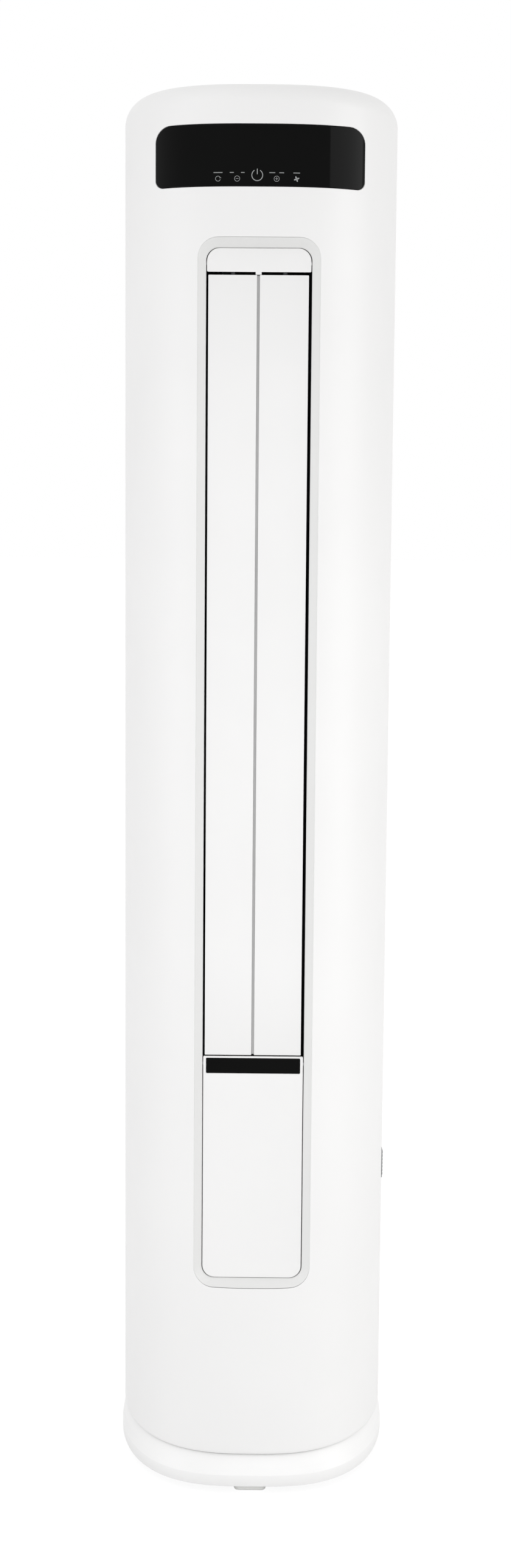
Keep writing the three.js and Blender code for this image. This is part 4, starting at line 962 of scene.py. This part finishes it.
def outlet_surround():
    steps = (24, 70, 12)
    rim = rounded_loop(FRAME_HALF_WIDTH, FRAME_LOW + RIM_DROP_GAP, FRAME_HIGH, FRAME_CORNER, steps=steps)
    mouth = rounded_loop(MOUTH_HALF_WIDTH, MOUTH_LOW, MOUTH_HIGH, MOUTH_CORNER, steps=steps)
    collar = offset_loop(mouth, -COLLAR_WALL)
    def on_column(loop, sink):
        return np.column_stack([loop[:, 0], front_y(loop[:, 0]) + sink, loop[:, 1]])
    def on_plane(loop, y):
        return np.column_stack([loop[:, 0], np.full(len(loop), y), loop[:, 1]])
    outer = on_column(rim, 0)
    inner = on_plane(mouth, FACE_Y)
    back = on_plane(mouth, COLLAR_BACK_Y)
    # Round the rim from behind, down the slope in shares of it, then round the mouth and back.
    rings = [on_column(rim, 2 * WALL), on_column(rim, 0.9), on_column(offset_loop(rim, 0.25), 0.35)]
    rings += [outer + (inner - outer) * share for share in (0.06, 0.12, 0.35, 0.65, 0.9)]
    rings += [inner + (outer - inner) * 0.05 + (back - inner) * 0.012, inner + (back - inner) * 0.06]
    rings += [back, on_plane(collar, COLLAR_BACK_Y), on_plane(collar, FACE_Y + WALL)]
    frame_ring = loft(rings, looped=True)
    # The frame's greyer white is painted shade on its recessed bevel.
    make("outlet_surround_frame", [frame_ring], "pale_frame", nodes=["outlet_surround"], sharp=50)


def outlet_cap():
    reach = MOUTH_HALF_WIDTH - FACE_SIDE_GAP
    loop = rounded_loop(reach, CAP_LOW, MOUTH_HIGH - GAP, FACE_CORNER, MOUTH_CORNER, steps=(1, 3, 12))
    left, right = CAP_POST_X - CAP_POST_HALF_WIDTH, CAP_POST_X + CAP_POST_HALF_WIDTH
    foot = LOUVER_HIGH + GAP
    post = [(left, CAP_LOW), (left, foot), (right, foot), (right, CAP_LOW)]
    plate = shell(upright_plane(FACE_Y), np.vstack([loop, post]), edge=0.7)
    make("outlet_cap_face", [plate], "white_shell", nodes=["outlet_cap"])


def lower_panel():
    reach = MOUTH_HALF_WIDTH - FACE_SIDE_GAP
    low, high = MOUTH_LOW + PANEL_FOOT_GAP, LOUVER_LOW - LOUVER_FOOT_GAP
    loop = rounded_loop(reach, low, high, MOUTH_CORNER, FACE_CORNER, steps=(1, 4, 12))
    recess = rounded_loop(
        STRIP_HALF_WIDTH + GAP, STRIP_LOW - GAP, STRIP_HIGH + GAP, STRIP_RECESS_CORNER, steps=(1, 1, 4),
    )
    plate = shell(upright_plane(FACE_Y), loop, [recess], wall=STRIP_DEPTH + GAP, edge=0.35, guard=0.1)
    backing = shell(upright_plane(FACE_Y + STRIP_DEPTH + GAP), loop, wall=WALL - STRIP_DEPTH - GAP, edge=0.1)
    make("lower_panel_face", [plate, backing], "white_shell", nodes=["lower_panel"])


def trim_strip():
    loop = rounded_loop(STRIP_HALF_WIDTH, STRIP_LOW, STRIP_HIGH, STRIP_CORNER, steps=(1, 1, 5))
    plate = shell(upright_plane(FACE_Y - GAP), loop, wall=STRIP_DEPTH + GAP, edge=0.5)
    make("trim_strip_face", [plate], "black_gloss", nodes=["trim_strip"])


def louver(side, name, trims, pin_high):
    """Blade with its end blocks, and its two pins; trims shift the blade's left and right edges."""
    x, y = side * LOUVER_PITCH / 2, LOUVER_AXIS_Y
    left, right = trims[0] - LOUVER_HALF_WIDTH, trims[1] + LOUVER_HALF_WIDTH
    bends = []
    for middle, start in ((left + BLADE_EDGE, 180), (right - BLADE_EDGE, 270)):
        angles = np.radians(np.linspace(start, start + 90, 6))
        bends.append(polar(BLADE_EDGE, angles) + (middle, BLADE_EDGE - LOUVER_AXIS_BACK))
    rim, belly = BLADE_RIM - LOUVER_AXIS_BACK, BLADE_BELLY - LOUVER_AXIS_BACK
    back = bend_between(np.linspace(0, 1, 25)[:, None], (right, rim), (0, belly), (left, rim))
    profile = np.vstack([*bends, back])
    levels = [(inset, LOUVER_LOW + rise) for inset, rise in BLADE_ENDS]
    levels += [(0, z) for z in np.linspace(LOUVER_LOW, LOUVER_HIGH, 9)[1:-1]]
    levels += [(inset, LOUVER_HIGH - rise) for inset, rise in BLADE_ENDS[::-1]]
    blade = loft([at_height(offset_loop(profile, inset) + (x, y), z) for inset, z in levels])
    blocks = []
    for z in (LOUVER_LOW, LOUVER_HIGH - END_BLOCK_HIGH[2]):
        blocks.append(block(np.add(END_BLOCK_LOW, (x, y, z)), np.add(END_BLOCK_HIGH, (x, y, z)), 0.8))
    pins = [
        lathe(bar_profile(PIN_RADIUS, low, high), (x, y, 0), count=24)
        for low, high in ((PIN_LOW, LOUVER_LOW), (LOUVER_HIGH, pin_high))
    ]
    make(name + "_blade", [blade, *blocks], "white_shell", body=name, nodes=[name])
    # The pins take the dark plastic as painted shade for the shadowed gap above the louvers, where they show.
    make(name + "_pins", pins, "dark_plastic", body=name)


def louver_seal():
    """Soft lip on the left louver's inner edge, behind the gap between the two; its grey is painted shade for
    that seam.
    """
    x, y = LOUVER_HALF_WIDTH - LOUVER_PITCH / 2 - SEAL_LAP, FACE_Y + SEAL_SINK
    low, high = LOUVER_LOW + SEAL_END_GAP, LOUVER_HIGH - SEAL_END_GAP
    seal = block((x, y, low), (x + SEAL_WIDTH, y + SEAL_THICKNESS, high))
    make("left_louver_seal", [seal], "grey_rubber", body="left_louver", finish=SEAL_SHADE_GREY)


# ---------------- display

ICON_LIFT = 0.12


def display_window():
    window = shell(
        column_skin(GAP), on_front(display_loop()), wall=WALL - 2 * GAP, edge=0.6,
        columns=np.linspace(front_s(-DISPLAY_GRID_REACH), front_s(DISPLAY_GRID_REACH), 44),
        rows=np.linspace(DISPLAY_LOW + DISPLAY_GRID_INSET, DISPLAY_HIGH - DISPLAY_GRID_INSET, 6),
    )
    make("display_window_glass", [window], "black_gloss", nodes=["display_window"])


def arc_band(centre, radius, width, start, end, steps=28):
    """Outline of a ring segment between two angles in degrees."""
    angles = np.radians(np.linspace(start, end, steps))
    return np.vstack([polar(radius + width / 2, angles), polar(radius - width / 2, angles)[::-1]]) + centre


def stroke(centre, start, end, width):
    """Outline of a straight line between two places counted from the centre."""
    start, end = np.add(centre, start), np.add(centre, end)
    along = (end - start) / np.linalg.norm(end - start)
    across = np.array([-along[1], along[0]]) * width / 2
    return np.array([start - across, end - across, end + across, start + across])


def petal(centre, degrees, length, width):
    """Leaf outline that starts at the centre, for the fan symbol."""
    share = np.linspace(0, 1, 9)
    bulge = np.sin(share * math.pi) * width / 2
    below = np.column_stack([share * length, -bulge])[1:-1]
    above = np.column_stack([share * length, bulge])[::-1]
    return spun(np.vstack([below, above]), math.radians(degrees)) + centre


SYMBOLS = {
    "power": (-3.2, 1690.2),
    "mode": (-51.1, 1686.0),
    "minus": (-27.7, 1686.0),
    "plus": (20.5, 1686.0),
    "fan": (44.8, 1686.0),
}
# Radius, line width, first and last degree, and for the largest its number of steps.
SYMBOL_ARCS = [
    ("power", 6.6, 1.0, 122, 418, 40),
    ("mode", 3.0, 0.55, 20, 340),
    ("minus", 3.2, 0.5, 1, 180),
    ("minus", 3.2, 0.5, 181, 360),
    ("plus", 3.2, 0.5, 1, 180),
    ("plus", 3.2, 0.5, 181, 360),
]
# Start and end counted from the symbol's centre, and line width; the last four are the dashes above.
SYMBOL_STROKES = [
    ("power", (0, 1.0), (0, 7.6), 1.0),
    ("mode", (1.6, 1.0), (3.9, 1.0), 0.5),
    ("minus", (-1.7, 0), (1.7, 0), 0.5),
    ("plus", (-1.7, 0), (1.7, 0), 0.5),
    ("plus", (0, -0.35), (0, -1.7), 0.5),
    ("plus", (0, 0.35), (0, 1.7), 0.5),
    ("mode", (-5.5, 7.2), (5.5, 7.2), 0.9),
    ("minus", (-9, 7.2), (9, 7.2), 0.9),
    ("plus", (-9, 7.2), (9, 7.2), 0.9),
    ("fan", (-4, 7.2), (4, 7.2), 0.9),
]
PETAL_DEGREES = (20, 110, 200, 290)
PETAL_LENGTH = 3.7
PETAL_WIDTH = 1.9


def touch_symbols():
    outlines = [arc_band(SYMBOLS[name], *arc) for name, *arc in SYMBOL_ARCS]
    outlines += [stroke(SYMBOLS[name], *line) for name, *line in SYMBOL_STROKES]
    outlines += [petal(SYMBOLS["fan"], degrees, PETAL_LENGTH, PETAL_WIDTH) for degrees in PETAL_DEGREES]
    surface = column_skin(GAP - ICON_LIFT)
    parts = [flat_shape(surface, on_front(outline)) for outline in outlines]
    make("touch_symbols", parts, "black_gloss", finish=ICON_INK)


def flat_shape(surface, outline):
    """Thin raised print: a front and a back face with upright sides."""
    outline = turned(outline, 1)
    points, triangles = triangulate([outline], np.zeros((0, 2)))
    count = len(outline)
    front = surface(points[:, 0], points[:, 1], 0)
    back = surface(points[:, 0], points[:, 1], ICON_LIFT)
    faces = [tuple(triangle) for triangle in triangles]
    faces += [tuple(triangle[::-1] + count) for triangle in triangles]
    faces += [(count + i, count + (i + 1) % count, (i + 1) % count, i) for i in range(count)]
    return np.vstack([front, back]), faces


# ---------------- side catch and back

def side_catch():
    low, high = CATCH_Z - CATCH_HALF_HEIGHT, CATCH_Z + CATCH_HALF_HEIGHT
    loop = rounded_loop(CATCH_HALF_DEPTH, low, high, CATCH_CORNER, steps=(4, 10, 5), centre=SHELL_SPLIT_Y)
    parts = [shell(right_plane(CATCH_FACE_X), loop, wall=CATCH_THICKNESS)]
    for step in range(-3, 4):
        z = CATCH_Z + step * CATCH_RIB_PITCH
        rib = rounded_loop(
            CATCH_RIB_HALF_DEPTH, z - CATCH_RIB_HALF_HEIGHT, z + CATCH_RIB_HALF_HEIGHT, CATCH_RIB_CORNER,
            steps=(3, 1, 5), centre=SHELL_SPLIT_Y,
        )
        parts.append(shell(right_plane(CATCH_FACE_X + CATCH_RIB), rib, wall=CATCH_RIB, edge=0.4))
    make(
        "side_catch_button", parts, "dark_plastic",
        body="side_catch", nodes=["side_catch"], finish=CATCH_GREY,
    )


SLOT_COLUMNS = 27
SLOT_ROWS = 12
SLOT_BORDER = 14.0
SLOT_BAR = 2.6
SLOT_RAIL = 5.0
SLOT_CORNER = 1.8
CLIP_X = 90.0
CLIP_HALF_WIDTH = 6.0
CLIP_HEIGHT = 6.0
CLIP_INSET = 16.0


def inlet_grille():
    outline = rounded_loop(GRILLE_HALF_WIDTH, GRILLE_LOW, GRILLE_HIGH, GRILLE_CORNER, steps=(36, 46, 5))
    pitch_x = (2 * (GRILLE_HALF_WIDTH - SLOT_BORDER) + SLOT_BAR) / SLOT_COLUMNS
    pitch_z = (GRILLE_HIGH - GRILLE_LOW - 2 * SLOT_BORDER + SLOT_RAIL) / SLOT_ROWS
    half = (pitch_x - SLOT_BAR) / 2
    slots = []
    for column in range(SLOT_COLUMNS):
        x = SLOT_BORDER - GRILLE_HALF_WIDTH + column * pitch_x + half
        for row in range(SLOT_ROWS):
            z = GRILLE_LOW + SLOT_BORDER + row * pitch_z
            slot = rounded_loop(half, z, z + pitch_z - SLOT_RAIL, SLOT_CORNER, steps=(1, 3, 3), centre=x)
            slots.append(on_rear(slot))
    panel = shell(column_skin(), on_rear(outline), slots, edge=0.6)
    clips = [
        block(
            (x - CLIP_HALF_WIDTH, FILTER_BACK_Y + GAP, z),
            (x + CLIP_HALF_WIDTH, rear_y(x) - WALL - 0.5, z + CLIP_HEIGHT),
        )
        for x in (-CLIP_X, CLIP_X) for z in (GRILLE_LOW + CLIP_INSET, GRILLE_HIGH - CLIP_INSET - CLIP_HEIGHT)
    ]
    make("inlet_grille_panel", [panel, *clips], "white_shell", body="inlet_panel", nodes=["inlet_grille"])


NET_PITCH = 2.6
NET_THREAD = 0.35
NET_TUCK = 1.0


def filter_screen():
    """Frame with two columns of windows, and the net across them, tucked into its rim."""
    pitch = (FILTER_HIGH - FILTER_LOW - 2 * FILTER_RIM + FILTER_RIB) / FILTER_ROWS
    half = (FILTER_HALF_WIDTH - FILTER_RIM - FILTER_RIB / 2) / 2
    windows = []
    for row in range(FILTER_ROWS):
        z = FILTER_LOW + FILTER_RIM + row * pitch
        for x in (-FILTER_RIB / 2 - half, FILTER_RIB / 2 + half):
            top = z + pitch - FILTER_RIB
            windows.append(rounded_loop(half, z, top, FILTER_WINDOW_CORNER, steps=(4, 6, 4), centre=x))
    outline = rounded_loop(FILTER_HALF_WIDTH, FILTER_LOW, FILTER_HIGH, FILTER_CORNER, steps=(8, 30, 4))
    screen = shell(rear_plane(FILTER_BACK_Y), outline, windows, wall=FILTER_DEPTH)
    make("filter_frame_moulding", [screen], "filter_grey", body="inlet_panel", nodes=["filter_frame"])
    y = FILTER_BACK_Y - FILTER_DEPTH / 2
    reach = FILTER_HALF_WIDTH - FILTER_RIM + NET_TUCK
    low, high = FILTER_LOW + FILTER_RIM - NET_TUCK, FILTER_HIGH - FILTER_RIM + NET_TUCK
    threads = [thread((x, y, low), (x, y, high)) for x in np.arange(-reach, reach, NET_PITCH)]
    for z in np.arange(low, high, NET_PITCH):
        threads.append(thread((-reach, y + NET_THREAD, z), (reach, y + NET_THREAD, z)))
    make("filter_net", threads, "filter_grey", body="inlet_panel")


def thread(start, end):
    """Thin square bar along x or z."""
    start, end = np.array(start, float), np.array(end, float)
    along = (end - start) / np.linalg.norm(end - start)
    across = np.cross(along, (0, 1, 0)) * NET_THREAD / 2
    deep = np.array([0, NET_THREAD / 2, 0])
    corners = ((1, 1), (-1, 1), (-1, -1), (1, -1))
    return loft([np.array([place + a * across + b * deep for a, b in corners]) for place in (start, end)])


# Section of the gland: radius and distance behind the housing, round the flange and down the bore.
GLAND_PROFILE = [
    (GLAND_RADIUS + 2.6, 1.8), (GLAND_RADIUS + 3.3, 2.4), (GLAND_RADIUS + 3.3, 4.0), (GLAND_RADIUS + 2.2, 5),
    (5.8, 5), (5, 4.4), (5, -13.4), (5.8, -14),
    (GLAND_RADIUS - 0.6, -14), (GLAND_RADIUS, -13.4), (GLAND_RADIUS, 1.8),
]


def cable_gland():
    bush = lathe(GLAND_PROFILE, (GLAND_X, float(rear_y(GLAND_X)), GLAND_Z), "y", looped=True)
    make("cable_gland_bush", [bush], "dark_plastic", nodes=["cable_gland"])


def strap_plate():
    low, high = STRAP_PLATE_Z - STRAP_PLATE_HALF_HEIGHT, STRAP_PLATE_Z + STRAP_PLATE_HALF_HEIGHT
    outline = rounded_loop(STRAP_PLATE_HALF_WIDTH, low, high, STRAP_PLATE_CORNER, steps=(1, 1, 8))
    low, high = STRAP_PLATE_Z - STRAP_SLOT_HALF_HEIGHT, STRAP_PLATE_Z + STRAP_SLOT_HALF_HEIGHT
    corner = STRAP_SLOT_HALF_HEIGHT - 0.01
    slots = [
        rounded_loop(STRAP_SLOT_HALF_WIDTH, low, high, corner, steps=(1, 1, 8), centre=x)
        for x in (-STRAP_SLOT_X, STRAP_SLOT_X)
    ]
    back = WIDEST_Y + REAR_DEPTH + GAP + STRAP_PLATE_THICKNESS
    plate = shell(rear_plane(back), outline, slots, wall=STRAP_PLATE_THICKNESS, edge=0.4)
    make("tip_bracket_plate", [plate], "zinc_steel", nodes=["tip_bracket"])


SCREW_X = 60.0
SCREW_ROWS = (180.0, 585.0, 1640.0)
# Head: radius and rise from the housing. Recess: scale of its cross and rise.
SCREW_HEAD = ((3.6, -1.0), (4.2, -0.6), (4.2, 0.5), (3.9, 1.2), (3.2, 1.7))
SCREW_RECESS = ((1.1, 1.9), (1, 0.9), (0.5, 0.5))
CROSS_CORE = 0.55
CROSS_ARM = 1.5


def screw(x, z):
    """Round head on the back at (x, z), with a cross recess sunk in its crown."""
    origin = (x, float(rear_y(x)), z)
    angles = full_turn(48)
    cross = polar(CROSS_CORE + CROSS_ARM * np.abs(np.cos(2 * angles)) ** 6, angles)
    rings = [along_axis(circle(radius), rise, "y", origin) for radius, rise in SCREW_HEAD]
    rings += [along_axis(cross * scale, rise, "y", origin) for scale, rise in SCREW_RECESS]
    return loft(rings)


def screws():
    heads = [screw(x, z) for x in (-SCREW_X, SCREW_X) for z in SCREW_ROWS]
    make("rear_screws", heads, "zinc_steel", sharp=30)


# Pipe ends inside the opening at the foot of the back: x, z and radius of each pipe.
PIPE_ENDS = {"gas_pipe_nut": (-12.0, 118.0, 8.0), "liquid_pipe_nut": (20.0, 112.0, 5.0)}
PIPE_END_Y = 150.0
NUT_LENGTH = 17.0
NUT_WALL = 5.5
NUT_BORE_GROW = 1.5
NUT_BORE_DEPTH = 12.0
# Sleeve behind the hexagon: growth over the pipe's radius and distance behind the hexagon.
NUT_SLEEVE = ((0.2, 7.0), (2.2, 6.4), (3.2, 0.0))


def hexagon(flats, count=48):
    """Flat points round a hexagon; flats is the distance from its centre to a side."""
    angles = full_turn(count)
    return polar(flats / np.cos(np.mod(angles, math.pi / 3) - math.pi / 6), angles)


def flare_nuts():
    """Brass nut on each pipe end: a sleeve, a hexagon and the open bore in its face."""
    start = PIPE_END_Y - NUT_LENGTH
    for name, (x, z, pipe) in PIPE_ENDS.items():
        flats, bore = pipe + NUT_WALL, circle(pipe + NUT_BORE_GROW)
        sections = [(circle(pipe + grow), start - behind) for grow, behind in NUT_SLEEVE]
        sections += [(hexagon(flats), start + 0.4), (hexagon(flats), PIPE_END_Y - 1)]
        sections += [(circle(flats * 0.94), PIPE_END_Y), (bore, PIPE_END_Y), (bore, PIPE_END_Y - NUT_BORE_DEPTH)]
        nut = loft([along_axis(flat, y, "y", (x, 0, z)) for flat, y in sections])
        make(name, [nut], "zinc_steel", finish=BRASS, sharp=25)


# ---------------- fan and coil

ROTOR_BLADES = 35
ROTOR_CELLS = 10
ROTOR_RING_INNER = 41.0
ROTOR_RING_HALF = 1.0
# Outer face of a blade as a quadratic curve, and the way from it to the inner face.
ROTOR_BLADE_CURVE = ((43, -3), (50, 4), (57, 5))
ROTOR_BLADE_DEPTH = (-0.5, 0.9)


def fan_rotor():
    outer = bend_between(np.linspace(0, 1, 7)[:, None], *ROTOR_BLADE_CURVE)
    profile = np.vstack([outer, outer[::-1] + ROTOR_BLADE_DEPTH])
    cell, half = (FAN_HIGH - FAN_LOW) / ROTOR_CELLS, ROTOR_RING_HALF
    origin = (0, FAN_Y, 0)
    parts = []
    for blade in range(ROTOR_BLADES):
        flat = spun(profile, 2 * math.pi * blade / ROTOR_BLADES) + origin[:2]
        for low in FAN_LOW + cell * np.arange(ROTOR_CELLS):
            parts.append(loft([at_height(flat, low + half), at_height(flat, low + cell - half)]))
    for step in range(ROTOR_CELLS + 1):
        middle = min(max(FAN_LOW + step * cell, FAN_LOW + half), FAN_HIGH - half)
        low, high = middle - half, middle + half
        ring = [(FAN_RADIUS, low), (FAN_RADIUS, high)]
        open_ring = 0 < step < ROTOR_CELLS
        if open_ring:
            ring = [(ROTOR_RING_INNER, low), *ring, (ROTOR_RING_INNER, high)]
        parts.append(lathe(ring, origin, count=72, looped=open_ring))
    make("fan_rotor_wheel", parts, "dark_plastic", body="fan", nodes=["fan_rotor"])


FIN_PITCH = 3.0
FIN_THICKNESS = 0.3


def evaporator():
    """Separate fins, bent round the fan."""
    angles = np.radians(np.linspace(COIL_START_DEGREES, 180 - COIL_START_DEGREES, 29))
    inner, outer = (polar(radius, angles) + (0, FAN_Y) for radius in (COIL_INNER, COIL_OUTER))
    parts = []
    for z in np.arange(COIL_LOW + FIN_THICKNESS, COIL_HIGH, FIN_PITCH):
        low, high = z - FIN_THICKNESS / 2, z + FIN_THICKNESS / 2
        sides = ((inner, low), (outer, low), (outer, high), (inner, high))
        corners = [at_height(flat, level) for flat, level in sides]
        parts.append(loft(np.stack(corners, axis=1)))
    make("evaporator_fins", parts, "coil_aluminium", nodes=["evaporator"])


# ---------------- assembly

front_cover()
rear_housing()
top_cover()
base_plinth()
feet()
outlet_surround()
outlet_cap()
lower_panel()
trim_strip()
louver(-1, "left_louver", LEFT_TRIMS, LEFT_PIN_HIGH)
louver_seal()
louver(1, "right_louver", RIGHT_TRIMS, RIGHT_PIN_HIGH)
display_window()
touch_symbols()
side_catch()
inlet_grille()
filter_screen()
cable_gland()
strap_plate()
screws()
flare_nuts()
fan_rotor()
evaporator()
